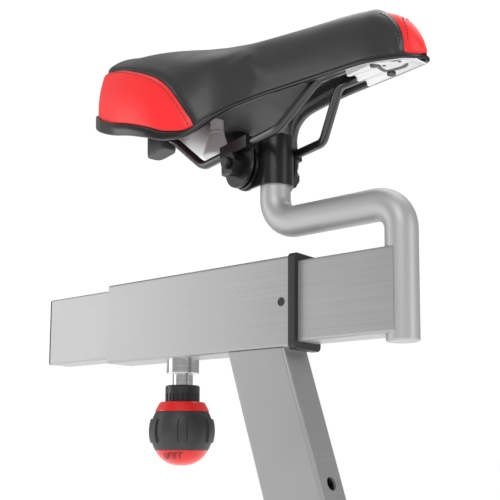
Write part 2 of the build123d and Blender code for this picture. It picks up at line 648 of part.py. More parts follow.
def clamp_plate(side, disc_y, disc_top, jaw_points):
    """One pressed plate: a round cheek on the bolt, cut off at `disc_top`, and a jaw over the rail."""
    with BuildPart() as plate:
        with BuildSketch(side_plane.offset(-side * disc_y)):
            with Locations((bolt_x, bolt_z)):
                Circle(PLATE_R)
            with Locations((bolt_x, bolt_z + disc_top - PLATE_R)):
                Rectangle(2 * PLATE_R, 2 * PLATE_R, mode=Mode.INTERSECT)
        extrude(amount=-side * PLATE_THICK)
        with BuildSketch(jaw_plane):
            with BuildLine():
                Polyline(*[(side * y, z) for y, z in jaw_points], close=True)
            make_face()
        extrude(amount=PLATE_LENGTH)
        with BuildSketch(jaw_plane):
            with Locations((side * RAIL_SPREAD, RAIL_OVER_BOLT)):
                Circle(groove_r)
        extrude(amount=PLATE_LENGTH, mode=Mode.SUBTRACT)
        with BuildSketch(side_plane.offset(-2 * PLATE_LENGTH)):
            with Locations((bolt_x, bolt_z)):
                Circle(BOLT_D / 2 + BOLT_GAP)
        extrude(amount=4 * PLATE_LENGTH, mode=Mode.SUBTRACT)
    return plate.part


inner_jaw = (
    (inner_y, JAW_FLOOR - PLATE_THICK), (inner_y + PLATE_THICK, JAW_FLOOR - PLATE_THICK),
    (OUTER_DISC_Y - PLATE_GAP, step + PLATE_GAP), (jaw_split - PLATE_GAP, step + PLATE_GAP),
    (jaw_split - PLATE_GAP, PLATE_TOP), (inner_y, PLATE_TOP),
)
outer_jaw = (
    (OUTER_DISC_Y, 0), (outer_y, 0), (outer_y, JAW_FLOOR), (OUTER_JAW_Y, JAW_FLOOR),
    (OUTER_JAW_Y, PLATE_TOP), (jaw_split + PLATE_GAP, PLATE_TOP), (jaw_split + PLATE_GAP, step),
    (OUTER_DISC_Y, step),
)
for side, word in ((-1, "right"), (1, "left")):
    save_turned(clamp_plate(side, inner_y, PLATE_R, inner_jaw), f"clamp_inner_{word}")
    save_turned(clamp_plate(side, OUTER_DISC_Y, step - 2 * PLATE_GAP, outer_jaw), f"clamp_outer_{word}")

with BuildPart() as clamp_bolt:
    with BuildSketch(side_plane.offset(-BOLT_REACH)):
        with Locations((bolt_x, bolt_z)):
            Circle(BOLT_D / 2)
    extrude(amount=2 * BOLT_REACH)
    chamfer(clamp_bolt.edges().filter_by(GeomType.CIRCLE), 0.8)
save_turned(clamp_bolt.part, "clamp_bolt")

with BuildPart() as clamp_washers:
    for side in (-1, 1):
        with BuildSketch(side_plane.offset(side * outer_y)):
            with Locations((bolt_x, bolt_z)):
                Circle(WASHER_D / 2)
                Circle(BOLT_D / 2 + LINER_FIT, mode=Mode.SUBTRACT)
        extrude(amount=side * WASHER_THICK)
save_turned(clamp_washers.part, "clamp_washers")

with BuildPart() as clamp_nuts:
    for side in (-1, 1):
        with BuildSketch(side_plane.offset(side * (outer_y + WASHER_THICK))):
            with Locations((bolt_x, bolt_z)):
                RegularPolygon(NUT_FLATS / 2, 6, major_radius=False)
                Circle(BOLT_D / 2 + LINER_FIT, mode=Mode.SUBTRACT)
        extrude(amount=side * NUT_THICK)
save_turned(clamp_nuts.part, "clamp_nuts")


# ---------------------------------------------------------------- saddle
def saddle_point(ahead, side, up):
    """A point given along the tilted saddle: ahead of, beside and above the bolt axis."""
    return bolt_point + along * ahead + Vector(0, side, 0) + rise * up


# each rail's corners: ahead of the bolt axis, out from the middle plane, above the bolt axis
RAIL_ROUTE = (
    (-98.0, 40.0, 40.5), (-70.0, 37.0, 38.5), (-49.0, RAIL_SPREAD, RAIL_OVER_BOLT),
    (49.4, RAIL_SPREAD, RAIL_OVER_BOLT), (82.5, 10.0, 43.5), (114.0, 9.5, 40.5),
)


def rails(radius):
    """Both rails as round bars of the given radius."""
    with BuildPart() as bars:
        for side in (-1, 1):
            route = [saddle_point(a, side * s, u) for a, s, u in RAIL_ROUTE]
            with BuildLine() as rail_line:
                FilletPolyline(*route, radius=RAIL_BEND_R)
            with BuildSketch(Plane(origin=route[0], z_dir=route[1] - route[0])):
                Circle(radius)
            sweep(path=rail_line.wires()[0])
    return bars.part


save_turned(rails(RAIL_D / 2), "saddle_rails")
rail_bores = rails(RAIL_D / 2 + RAIL_GAP)


def station_plane(ahead):
    """An upright plane across the saddle."""
    return Plane(origin=(bolt_x + ahead, 0, bolt_z), x_dir=(0, 1, 0), z_dir=(1, 0, 0))


def arch(half, foot, top, curve, steps=10):
    """Points from the right foot over the top to the left foot: a rounded-square arch."""
    points = []
    for number in range(steps + 1):
        across = -cos(radians(180 * number / steps))
        lift = sin(radians(180 * number / steps))
        sign = 1 if across > 0 else -1
        points.append((sign * half * abs(across) ** curve, foot + (top - foot) * abs(lift) ** curve))
    return points


def station_at(ahead):
    """The saddle's measures at any place, in line between its stations."""
    for before, after in zip(SADDLE_STATIONS, SADDLE_STATIONS[1:]):
        if before[0] <= ahead <= after[0]:
            share = (ahead - before[0]) / (after[0] - before[0])
            return tuple(a + (b - a) * share for a, b in zip(before, after))


def loft_between(outline, stations=SADDLE_STATIONS):
    """Lofts the closed outline that `outline(station)` gives for every station of the saddle."""
    with BuildPart() as body:
        for station in stations:
            with BuildSketch(station_plane(station[0])):
                with BuildLine():
                    Polyline(*outline(station), close=True)
                make_face()
        loft(ruled=True)
    return body.part


def shell_edges(station):
    """Lip's half width, arch's half width, rim, lip top and the arch's underside."""
    _, half, rim, lip, middle, _ = station
    lip_half = half - COVER_THICK
    return lip_half, lip_half - LIP_THICK, rim, rim + lip, middle


def base_outline(station):
    """Shell of the base: an arch between two upright lips."""
    lip_half, inner, rim, foot, middle = shell_edges(station)
    under = arch(inner, rim, middle, SHELL_CURVE)
    over = arch(inner, foot, middle + BASE_THICK, SHELL_CURVE)
    return [(-lip_half, rim), *under, (lip_half, rim), (lip_half, foot), *reversed(over), (-lip_half, foot)]


def under_shell_outline(station):
    """Everything below the shell's upper face, where the rail sockets may stand."""
    _, inner, rim, _, middle = shell_edges(station)
    roof = middle + BASE_THICK / 2
    return [(-inner + LIP_THICK, 0), *arch(inner - LIP_THICK, rim, roof, SHELL_CURVE),
            (inner - LIP_THICK, 0)]


def foam_outline(station):
    """Foam between the base and the cover."""
    _, half, _, _, _, crown = station
    _, inner, _, foot, middle = shell_edges(station)
    side = half - COVER_THICK - SOFT_GAP
    under = arch(inner, foot + SOFT_GAP, middle + BASE_THICK + SOFT_GAP, SHELL_CURVE)
    over = arch(side, foot + SOFT_GAP, crown - COVER_THICK - SOFT_GAP, SECTION_CURVE)
    return [*under, *reversed(over)]


def cover_outline(station):
    """Upholstery over the foam, open underneath."""
    _, half, rim, lip, _, crown = station
    foot = rim + lip + SOFT_GAP
    outside = arch(half, foot, crown, SECTION_CURVE)
    inside = arch(half - COVER_THICK, foot, crown - COVER_THICK, SECTION_CURVE)
    return [*outside, *reversed(inside)]


def end_outline(station):
    """The whole section of the saddle, down to the rim."""
    _, half, rim, _, _, crown = station
    return arch(half, rim, crown, SECTION_CURVE)


tail, tip = SADDLE_STATIONS[0], SADDLE_STATIONS[-1]
inner_stations = [station_at(tail[0] + TAIL_CAP), *SADDLE_STATIONS[1:-1], station_at(tip[0] - TAIL_CAP)]
_, rail_side, rail_up = RAIL_ROUTE[1]
socket_foot = rail_up - RAIL_D / 2 - SOCKET_WALL
with BuildPart() as rail_sockets:
    with BuildSketch(Plane(origin=bolt_point + rise * socket_foot, x_dir=along, z_dir=rise)):
        for side in (-1, 1):
            with Locations(((SOCKET_FRONT + SOCKET_REAR) / 2, side * rail_side)):
                RectangleRounded(SOCKET_FRONT - SOCKET_REAR, SOCKET_WIDTH, SOCKET_WALL)
    extrude(amount=SADDLE_STATIONS[3][5])
    add(loft_between(under_shell_outline, inner_stations), mode=Mode.INTERSECT)
    add(rail_bores, mode=Mode.SUBTRACT)

with BuildPart() as shell_supports:
    with BuildSketch(Plane(origin=bolt_point + Vector(BOSS_AHEAD, 0, BOSS_FOOT))):
        Circle(BOSS_FOOT_R)
    extrude(amount=BOSS_CONE, taper=BOSS_TAPER)
    with BuildSketch(Plane(origin=bolt_point + Vector(BOSS_AHEAD, 0, BOSS_FOOT + BOSS_CONE / 2))):
        Circle(BOSS_FOOT_R / 2)
    extrude(amount=BOSS_TOP - BOSS_FOOT - BOSS_CONE / 2)
with BuildPart() as cross_lobe:
    with BuildSketch(side_plane.offset(-LOBE_HALF)):
        with Locations((bolt_x + LOBE_AHEAD, bolt_z + LOBE_UP)):
            Circle(LOBE_R)
    extrude(amount=2 * LOBE_HALF)
    fillet(cross_lobe.edges().filter_by(GeomType.CIRCLE), LOBE_ROUND)

with BuildPart() as saddle_base:
    add(loft_between(base_outline, inner_stations))
    add(rail_sockets.part)
    add(shell_supports.part)
    add(cross_lobe.part)
    add(rail_bores, mode=Mode.SUBTRACT)
save_turned(saddle_base.part, "saddle_base")

saddle_foam = loft_between(foam_outline, inner_stations)
save_turned(saddle_foam, "saddle_foam")


def seam_cutter(seam, corners):
    """A block right across the saddle, bounded by a seam curve in side view."""
    with BuildPart() as cutter:
        with BuildSketch(Plane(origin=bolt_point, x_dir=(1, 0, 0), z_dir=(0, -1, 0))):
            with BuildLine():
                Spline(*seam)
                Polyline(seam[-1], *corners, seam[0])
            make_face()
        extrude(amount=SADDLE_STATIONS[3][1] * 2, both=True)
    return cutter.part


with BuildPart() as cover:
    add(loft_between(cover_outline))
    add(loft_between(end_outline, [tail, station_at(tail[0] + COVER_THICK)]))
    add(loft_between(end_outline, [station_at(tip[0] - COVER_THICK), tip]))
rear_end, nose_end = REAR_SEAM[0], NOSE_SEAM[-1]
rear_cutter = seam_cutter(REAR_SEAM, ((rear_end[0], REAR_SEAM[-1][1]),))
beyond_tip = 2 * tip[0] - nose_end[0]
nose_cutter = seam_cutter(NOSE_SEAM, ((beyond_tip, nose_end[1]), (beyond_tip, NOSE_SEAM[0][1])))
with BuildPart() as cover_rear:
    add(cover.part)
    add(rear_cutter, mode=Mode.INTERSECT)
with BuildPart() as cover_nose:
    add(cover.part)
    add(nose_cutter, mode=Mode.INTERSECT)
with BuildPart() as cover_top:
    add(cover.part)
    add(rear_cutter, mode=Mode.SUBTRACT)
    add(nose_cutter, mode=Mode.SUBTRACT)
save_turned(cover_rear.part, "cover_rear")
save_turned(cover_nose.part, "cover_nose")
save_turned(cover_top.part, "cover_top")


def plate_outline(station):
    """Nose plate under the rim, reaching from lip to lip."""
    lip_half, _, rim, _, _ = shell_edges(station)
    top = rim - LINER_FIT
    return [(-lip_half, top - NOSE_PLATE_THICK), (lip_half, top - NOSE_PLATE_THICK), (lip_half, top),
            (-lip_half, top)]


plate_stations = [station_at(NOSE_PLATE_REAR)]
plate_stations += [one for one in SADDLE_STATIONS if NOSE_PLATE_REAR < one[0] < NOSE_PLATE_TIP]
plate_stations.append(station_at(NOSE_PLATE_TIP))
save_turned(loft_between(plate_outline, plate_stations), "nose_plate")

screw_rim = station_at(NOSE_SCREW_AHEAD)[2]
with BuildPart() as nose_screw:
    with BuildSketch(Plane(origin=bolt_point + Vector(0, 0, screw_rim - NOSE_PLATE_THICK - 3 * PLATE_GAP))):
        with Locations((NOSE_SCREW_AHEAD, NOSE_SCREW_SIDE)):
            Circle(NOSE_SCREW_HEAD_D / 2)
    extrude(amount=-NOSE_PLATE_THICK)
save_turned(nose_screw.part, "nose_screw")
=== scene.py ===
"""Looks of the spin bike's seat assembly: finishes, upholstery, moulded shell, stage, light and camera."""
import bmesh
import bpy
import numpy as np
from mathutils import Matrix
from mathutils.bvhtree import BVHTree


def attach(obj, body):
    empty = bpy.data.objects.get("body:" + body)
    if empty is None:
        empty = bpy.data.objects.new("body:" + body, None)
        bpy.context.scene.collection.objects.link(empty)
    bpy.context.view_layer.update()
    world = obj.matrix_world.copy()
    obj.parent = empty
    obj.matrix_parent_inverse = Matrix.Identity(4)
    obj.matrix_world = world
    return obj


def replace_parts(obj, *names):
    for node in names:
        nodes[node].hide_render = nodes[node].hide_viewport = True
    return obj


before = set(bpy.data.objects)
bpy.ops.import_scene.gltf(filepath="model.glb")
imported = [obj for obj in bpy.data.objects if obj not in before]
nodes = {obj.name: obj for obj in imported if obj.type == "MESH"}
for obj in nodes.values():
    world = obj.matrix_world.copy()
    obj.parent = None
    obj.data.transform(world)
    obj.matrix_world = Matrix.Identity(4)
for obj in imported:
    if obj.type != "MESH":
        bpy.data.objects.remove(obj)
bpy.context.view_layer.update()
scene = bpy.context.scene

# ---------------------------------------------------------------- measures in the shared frame, in metres
MM = 0.001
NECK_X = -0.07178            # neck's axis, about which the saddle is turned
BOLT_BACK = 0.0184           # clamp bolt behind the neck's axis
BOLT_Z = 0.39215
SADDLE_TURN = np.radians(-14.0)     # about the neck, nose towards the rider's right
SADDLE_TILT = np.radians(1.5)       # about the clamp bolt, nose up
KNOB_X = -0.16748
SLEEVE_BOTTOM = 0.24755
GRIP_BOTTOM = SLEEVE_BOTTOM - 0.074
FLOOR_Z = -0.004

# ---------------------------------------------------------------- the saddle's measures, in millimetres
COVER_THICK = 1.2
COVER_INSET = 1.4            # the cushion starts this far inside the cover, and swells into it
LIP_THICK = 2.6
LIP_LAP = 0.7                # share of the lip's height that covers the cushion's foot
SHELL_THICK = 2.5
EDGE_ROUND = 0.5             # round at the top of the lip
PLATE_CLEAR = 0.9            # nose plate inside the lips
SECTION_CURVE = 0.78         # squareness of the upholstered section
SHELL_CURVE = 0.55           # squareness of the shell's arch
# ahead of the clamp bolt, half width, rim height, lip height, shell's middle, crown
SADDLE_STATIONS = np.array((
    (-153.0, 57.0, 76.0, 8.0, 92.0, 143.0), (-148.5, 67.0, 70.0, 10.0, 88.0, 144.5),
    (-136.0, 74.5, 60.0, 11.0, 82.0, 143.0), (-118.0, 78.5, 50.5, 11.0, 76.0, 137.5),
    (-96.0, 80.0, 41.5, 10.0, 70.0, 131.5), (-76.0, 78.0, 35.5, 9.0, 66.0, 126.0),
    (-56.0, 73.5, 28.5, 8.0, 62.0, 120.0), (-38.0, 66.0, 22.5, 6.0, 59.0, 114.5),
    (-28.0, 60.5, 22.0, 4.5, 58.0, 112.0), (-20.0, 54.5, 25.0, 3.6, 57.5, 110.0),
    (-5.0, 41.0, 37.0, 2.6, 58.0, 107.0), (10.0, 33.0, 42.0, 2.2, 59.5, 103.5),
    (27.0, 27.5, 43.3, 2.0, 60.0, 100.5), (50.0, 24.0, 42.0, 2.0, 59.0, 96.0),
    (80.0, 20.5, 39.3, 2.2, 57.0, 90.0), (110.0, 18.0, 36.0, 2.6, 53.5, 84.0),
    (135.0, 16.0, 33.0, 3.0, 48.0, 77.0), (152.0, 12.5, 30.0, 3.4, 42.0, 67.0),
    (164.0, 9.5, 27.5, 3.4, 37.5, 55.5), (171.0, 6.5, 25.5, 3.2, 33.0, 44.5),
    (175.5, 4.2, 24.5, 3.0, 29.5, 36.0),
))
# seams in side view: ahead of and above the clamp bolt
REAR_SEAM = np.array((
    (-168.0, 128.0), (-150.0, 121.0), (-133.7, 115.7), (-117.3, 110.4), (-101.8, 104.2), (-86.5, 97.1),
    (-71.8, 90.1), (-61.9, 84.8), (-52.5, 79.1), (-45.2, 73.1), (-38.4, 66.1), (-32.8, 58.5),
    (-28.3, 51.5), (-23.9, 43.6), (-20.1, 36.4), (-17.6, 26.0), (-16.8, 10.0),
))
NOSE_SEAM = np.array((
    (136.0, 92.0), (140.4, 77.5), (144.5, 70.2), (149.2, 66.1), (154.8, 59.9), (158.6, 54.4),
    (161.4, 48.9), (163.1, 43.9), (163.8, 39.3), (164.0, 35.0), (164.2, 18.0),
))


# ---------------------------------------------------------------- curves and meshes
def smooth_between(knots, values, at):
    """Cubic Hermite curve through the knots, whose slopes are the harmonic means of the neighbouring
    slopes, so it never overshoots."""
    gap = np.diff(knots)
    rise = np.diff(values) / gap
    slope = np.zeros_like(values)
    same = rise[1:] * rise[:-1] > 0
    slope[1:-1][same] = 2 * rise[1:][same] * rise[:-1][same] / (rise[1:][same] + rise[:-1][same])
    slope[0], slope[-1] = rise[0], rise[-1]
    at = np.clip(at, knots[0], knots[-1])
    cell = np.clip(np.searchsorted(knots, at, side="right") - 1, 0, len(knots) - 2)
    t = (at - knots[cell]) / gap[cell]
    return (
        values[cell] * (1 + 2 * t) * (1 - t) ** 2 + values[cell + 1] * t * t * (3 - 2 * t)
        + gap[cell] * (slope[cell] * t * (1 - t) ** 2 - slope[cell + 1] * t * t * (1 - t))
    )


def saddle_measures(ahead):
    """Half width, rim, lip height, shell middle and crown at each place along the saddle."""
    return [smooth_between(SADDLE_STATIONS[:, 0], SADDLE_STATIONS[:, k], ahead) for k in range(1, 6)]


def saddle_place(ahead, side, up):
    """Points given along, across and above the clamp bolt, in millimetres, tilted about the bolt and
    turned about the neck."""
    ahead, side, up = np.broadcast_arrays(ahead, side, up)
    fore = (ahead * np.cos(SADDLE_TILT) - up * np.sin(SADDLE_TILT)) * MM - BOLT_BACK
    across = side * MM
    rise = (ahead * np.sin(SADDLE_TILT) + up * np.cos(SADDLE_TILT)) * MM
    x = NECK_X + fore * np.cos(SADDLE_TURN) - across * np.sin(SADDLE_TURN)
    y = fore * np.sin(SADDLE_TURN) + across * np.cos(SADDLE_TURN)
    return np.stack((x, y, BOLT_Z + rise), axis=-1)


def saddle_coordinates(points):
    """The reverse of saddle_place: ahead, side and up in millimetres."""
    x, y = points[:, 0] - NECK_X, points[:, 1]
    fore = x * np.cos(SADDLE_TURN) + y * np.sin(SADDLE_TURN)
    across = -x * np.sin(SADDLE_TURN) + y * np.cos(SADDLE_TURN)
    fore, rise = (fore + BOLT_BACK) / MM, (points[:, 2] - BOLT_Z) / MM
    ahead = fore * np.cos(SADDLE_TILT) + rise * np.sin(SADDLE_TILT)
    return ahead, across / MM, rise * np.cos(SADDLE_TILT) - fore * np.sin(SADDLE_TILT)


def grid_faces(rows, columns, closed_columns=False):
    """Four-cornered faces between neighbouring points of a grid, joined round where it is closed."""
    r = np.arange(rows - 1)[:, None] * columns
    c = np.arange(columns if closed_columns else columns - 1)[None, :]
    c2 = (c + 1) % columns
    return np.stack((r + c, r + c2, r + columns + c2, r + columns + c), axis=-1).reshape(-1, 4)


def add_piece(name, points, faces, material, body="saddle"):
    """A smooth mesh piece from points and faces, with its normals outwards, riding on a body. The body
    and the material can be left for later with None."""
    mesh = bpy.data.meshes.new(name)
    mesh.from_pydata(np.asarray(points, float).reshape(-1, 3), [], [tuple(f) for f in faces])
    piece = bpy.data.objects.new(name, mesh)
    scene.collection.objects.link(piece)
    outwards(mesh)
    mesh.polygons.foreach_set("use_smooth", np.ones(len(mesh.polygons), bool))
    if material is not None:
        mesh.materials.append(material)
    if body:
        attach(piece, body)
    return piece


def outwards(mesh):
    """Merges doubles and turns every face outwards."""
    work = bmesh.new()
    work.from_mesh(mesh)
    bmesh.ops.remove_doubles(work, verts=work.verts, dist=1e-6)
    bmesh.ops.recalc_face_normals(work, faces=work.faces)
    work.to_mesh(mesh)
    work.free()


def swept_piece(name, rings, material, body="saddle"):
    """Closed rings (rows, points round, 3) joined along their rows; both ends are shut by a middle point."""
    rows, round_count, _ = rings.shape
    points = np.concatenate((rings.reshape(-1, 3), rings[0].mean(axis=0)[None], rings[-1].mean(axis=0)[None]))
    step = np.arange(round_count)
    after = (step + 1) % round_count
    first, last = rows * round_count, rows * round_count + 1
    start = (rows - 1) * round_count
    faces = [tuple(f) for f in grid_faces(rows, round_count, closed_columns=True)]
    faces += [(first, int(b), int(a)) for a, b in zip(step, after)]
    faces += [(last, start + int(a), start + int(b)) for a, b in zip(step, after)]
    return add_piece(name, points, faces, material, body)


def tube_along(path, radius, count):
    """Rings of a round bar: each ring lies across the path, in a frame set from a fixed upward direction,
    sideways where the path is steep.
    """
    path = np.asarray(path, float)
    along = np.gradient(path, axis=0)
    along /= np.linalg.norm(along, axis=1)[:, None]
    reference = np.tile(np.array((0.0, 0.0, 1.0)), (len(path), 1))
    steep = np.abs(along[:, 2]) > 0.95
    reference[steep] = (0.0, 1.0, 0.0)
    across = np.cross(along, reference)
    across /= np.linalg.norm(across, axis=1)[:, None]
    other = np.cross(along, across)
    turn = np.linspace(0, 2 * np.pi, count, endpoint=False)
    return (
        path[:, None, :] + radius * np.cos(turn)[None, :, None] * across[:, None, :]
        + radius * np.sin(turn)[None, :, None] * other[:, None, :]
    )


# ---------------------------------------------------------------- shader groups
def linear(red, green, blue):
    """Screen colour 0-255 to linear light."""
    c = np.array((red, green, blue)) / 255.0
    c = np.where(c <= 0.04045, c / 12.92, ((c + 0.055) / 1.055) ** 2.4)
    return (float(c[0]), float(c[1]), float(c[2]), 1.0)


def new_group(name, inputs, outputs):
    """A shader node group with the named inputs (name, kind, value) and outputs (name, kind)."""
    group = bpy.data.node_groups.new(name, "ShaderNodeTree")
    for label, kind, value in inputs:
        socket = group.interface.new_socket(label, in_out="INPUT", socket_type=kind)
        socket.default_value = value
    for label, kind in outputs:
        group.interface.new_socket(label, in_out="OUTPUT", socket_type=kind)
    return group, group.nodes.new("NodeGroupInput"), group.nodes.new("NodeGroupOutput")


def math_node(tree, operation, *values, clamp=False):
    """One arithmetic step; a value may be a number or a socket."""
    node = tree.nodes.new("ShaderNodeMath")
    node.operation = operation
    node.use_clamp = clamp
    for place, value in enumerate(values):
        if isinstance(value, (int, float)):
            node.inputs[place].default_value = value
        else:
            tree.links.new(value, node.inputs[place])
    return node.outputs[0]


def build_brushed():
    """Fine scratches drawn out along one axis: stretched noise, as a tone, a roughness and a height."""
    group, given, out = new_group(
        "brushed_lines",
        (("Stretch", "NodeSocketVector", (8, 1500, 1500)), ("Tone", "NodeSocketFloat", 0.12),
         ("Base Roughness", "NodeSocketFloat", 0.3)),
        (("Shade", "NodeSocketFloat"), ("Roughness", "NodeSocketFloat"), ("Height", "NodeSocketFloat")),
    )
    place = group.nodes.new("ShaderNodeTexCoord")
    scale = group.nodes.new("ShaderNodeVectorMath")
    scale.operation = "MULTIPLY"
    group.links.new(place.outputs["Object"], scale.inputs[0])
    group.links.new(given.outputs["Stretch"], scale.inputs[1])
    lines = group.nodes.new("ShaderNodeTexNoise")
    lines.inputs["Scale"].default_value = 1.0
    lines.inputs["Detail"].default_value = 3.0
    group.links.new(scale.outputs[0], lines.inputs["Vector"])
    broad = group.nodes.new("ShaderNodeTexNoise")
    broad.inputs["Scale"].default_value = 14.0
    broad.inputs["Detail"].default_value = 2.0
    group.links.new(place.outputs["Object"], broad.inputs["Vector"])
    centred = math_node(group, "SUBTRACT", lines.outputs["Fac"], 0.5)
    shade = math_node(group, "MULTIPLY_ADD", centred, given.outputs["Tone"], 1.0)
    spread = math_node(group, "MULTIPLY", math_node(group, "SUBTRACT", broad.outputs["Fac"], 0.5), 0.12)
    group.links.new(math_node(group, "ADD", shade, spread), out.inputs["Shade"])
    rough = math_node(group, "MULTIPLY_ADD", centred, 0.18, given.outputs["Base Roughness"])
    group.links.new(math_node(group, "ADD", rough, spread), out.inputs["Roughness"])
    group.links.new(lines.outputs["Fac"], out.inputs["Height"])
    return group


def build_grain():
    """Leather or moulded grain: rounded cells over fine noise, with broad patches of wear."""
    group, given, out = new_group(
        "cell_grain",
        (("Cell Scale", "NodeSocketFloat", 900.0), ("Cell Depth", "NodeSocketFloat", 0.6),
         ("Patch Scale", "NodeSocketFloat", 18.0)),
        (("Height", "NodeSocketFloat"), ("Patch", "NodeSocketFloat"), ("Crease", "NodeSocketFloat")),
    )
    place = group.nodes.new("ShaderNodeTexCoord")
    cells = group.nodes.new("ShaderNodeTexVoronoi")
    cells.feature = "SMOOTH_F1"
    group.links.new(place.outputs["Object"], cells.inputs["Vector"])
    group.links.new(given.outputs["Cell Scale"], cells.inputs["Scale"])
    fine = group.nodes.new("ShaderNodeTexNoise")
    fine.inputs["Detail"].default_value = 4.0
    group.links.new(place.outputs["Object"], fine.inputs["Vector"])
    group.links.new(math_node(group, "MULTIPLY", given.outputs["Cell Scale"], 0.6), fine.inputs["Scale"])
    patch = group.nodes.new("ShaderNodeTexNoise")
    patch.inputs["Detail"].default_value = 3.0
    group.links.new(place.outputs["Object"], patch.inputs["Vector"])
    group.links.new(given.outputs["Patch Scale"], patch.inputs["Scale"])
    domes = math_node(group, "MULTIPLY", cells.outputs["Distance"], given.outputs["Cell Depth"])
    height = math_node(group, "SUBTRACT", math_node(group, "MULTIPLY", fine.outputs["Fac"], 0.5), domes)
    group.links.new(height, out.inputs["Height"])
    group.links.new(math_node(group, "SUBTRACT", patch.outputs["Fac"], 0.5), out.inputs["Patch"])
    group.links.new(cells.outputs["Distance"], out.inputs["Crease"])
    return group


def build_speckle():
    """Fine even speckle of a paint, zinc or powder coat."""
    group, given, out = new_group(
        "coat_speckle",
        (("Scale", "NodeSocketFloat", 700.0), ("Strength", "NodeSocketFloat", 0.1)),
        (("Shade", "NodeSocketFloat"), ("Height", "NodeSocketFloat")),
    )
    place = group.nodes.new("ShaderNodeTexCoord")
    dots = group.nodes.new("ShaderNodeTexNoise")
    dots.inputs["Detail"].default_value = 5.0
    group.links.new(place.outputs["Object"], dots.inputs["Vector"])
    group.links.new(given.outputs["Scale"], dots.inputs["Scale"])
    broad = group.nodes.new("ShaderNodeTexNoise")
    broad.inputs["Scale"].default_value = 22.0
    group.links.new(place.outputs["Object"], broad.inputs["Vector"])
    mixed = math_node(group, "ADD", dots.outputs["Fac"], broad.outputs["Fac"])
    centred = math_node(group, "SUBTRACT", mixed, 1.0)
    shade = math_node(group, "MULTIPLY_ADD", centred, given.outputs["Strength"], 1.0)
    group.links.new(shade, out.inputs["Shade"])
    group.links.new(dots.outputs["Fac"], out.inputs["Height"])
    return group


brushed_lines, cell_grain, coat_speckle = build_brushed(), build_grain(), build_speckle()


def use_group(tree, group, **values):
    """The group placed in a material, with its own values (spaces in names are written as _)."""
    node = tree.nodes.new("ShaderNodeGroup")
    node.node_tree = group
    for label, value in values.items():
        node.inputs[label.replace("_", " ")].default_value = value
    return node


def new_material(name, colour, **settings):
    """A Principled material with plain values, and its tree and shader."""
    material = bpy.data.materials.new(name)
    material.use_nodes = True
    tree = material.node_tree
    shader = tree.nodes["Principled BSDF"]
    shader.inputs["Base Color"].default_value = colour
    for label, value in settings.items():
        shader.inputs[label.replace("_", " ")].default_value = value
    return material, tree, shader


def shade_colour(tree, shader, colour, shade):
    """The colour multiplied by a grey shade that changes over the surface."""
    mix = tree.nodes.new("ShaderNodeVectorMath")
    mix.operation = "SCALE"
    if isinstance(colour, tuple):
        mix.inputs[0].default_value = colour[:3]
    else:
        tree.links.new(colour, mix.inputs[0])
    tree.links.new(shade, mix.inputs["Scale"])
    tree.links.new(mix.outputs[0], shader.inputs["Base Color"])


def bump(tree, shader, height, strength, distance):
    """The height turned into a normal for the shader."""
    node = tree.nodes.new("ShaderNodeBump")
    node.inputs["Strength"].default_value = strength
    node.inputs["Distance"].default_value = distance
    tree.links.new(height, node.inputs["Height"])
    tree.links.new(node.outputs["Normal"], shader.inputs["Normal"])


def brushed_metal(name, colour, stretch, tone=0.3, roughness=0.38, depth=0.00003, metallic=0.55):
    """Brushed steel whose scratches run along the axis that the stretch leaves long."""
    material, tree, shader = new_material(name, colour, Metallic=metallic)
    lines = use_group(tree, brushed_lines, Stretch=stretch, Tone=tone, Base_Roughness=roughness)
    shade_colour(tree, shader, colour, lines.outputs["Shade"])
    tree.links.new(lines.outputs["Roughness"], shader.inputs["Roughness"])
    bump(tree, shader, lines.outputs["Height"], 0.5, depth)
    return material


def coated(name, colour, roughness, metallic=0.0, strength=0.12, scale=700.0, depth=0.00002, **settings):
    """A painted, plated or moulded surface with a fine speckle."""
    material, tree, shader = new_material(name, colour, Metallic=metallic, Roughness=roughness, **settings)
    dots = use_group(tree, coat_speckle, Scale=scale, Strength=strength)
    shade_colour(tree, shader, colour, dots.outputs["Shade"])
    bump(tree, shader, dots.outputs["Height"], 0.4, depth)
    return material


def grained(name, colour, roughness, cells, depth=0.00005):
    """A moulded plastic, rubber or thread with a cell grain and patches of wear."""
    material, tree, shader = new_material(name, colour)
    grain = use_group(tree, cell_grain, Cell_Scale=cells)
    shade_colour(tree, shader, colour, math_node(tree, "MULTIPLY_ADD", grain.outputs["Patch"], 0.35, 1.0))
    tree.links.new(
        math_node(tree, "MULTIPLY_ADD", grain.outputs["Patch"], 0.25, roughness, clamp=True),
        shader.inputs["Roughness"],
    )
    bump(tree, shader, grain.outputs["Height"], 0.6, depth)
    return material


ALONG_X, ALONG_Y, ALONG_Z = (6, 1600, 1600), (1600, 6, 1600), (1600, 1600, 6)
TURNED = (40, 40, 3000)      # rings left by a lathe
sleeve_steel = brushed_metal("sleeve_steel", linear(158, 158, 159), ALONG_X)
post_steel = brushed_metal("post_steel", linear(150, 150, 151), ALONG_Y)
slider_steel = brushed_metal("slider_steel", linear(160, 160, 161), ALONG_X)
boss_steel = brushed_metal("boss_steel", linear(205, 205, 206), TURNED, roughness=0.22, metallic=1.0)
spring_wire = brushed_metal("spring_wire", linear(160, 160, 165), ALONG_Z, roughness=0.25)
tube_paint = coated("tube_silver", linear(166, 166, 167), 0.45, metallic=0.5, strength=0.08)
black_plastic = grained("black_plastic", linear(28, 28, 29), 0.42, cells=1500.0, depth=0.00002)
collar_plastic = grained("knob_collar_black", linear(26, 26, 27), 0.35, cells=1800.0, depth=0.00002)
red_plastic = coated("knob_red", linear(214, 4, 4), 0.32, strength=0.08, Coat_Weight=0.2)
grip_rubber = grained("grip_rubber", linear(40, 41, 42), 0.5, cells=2200.0, depth=0.00003)
black_zinc = coated("black_zinc", linear(36, 36, 38), 0.3, metallic=0.6, strength=0.3, scale=500.0)
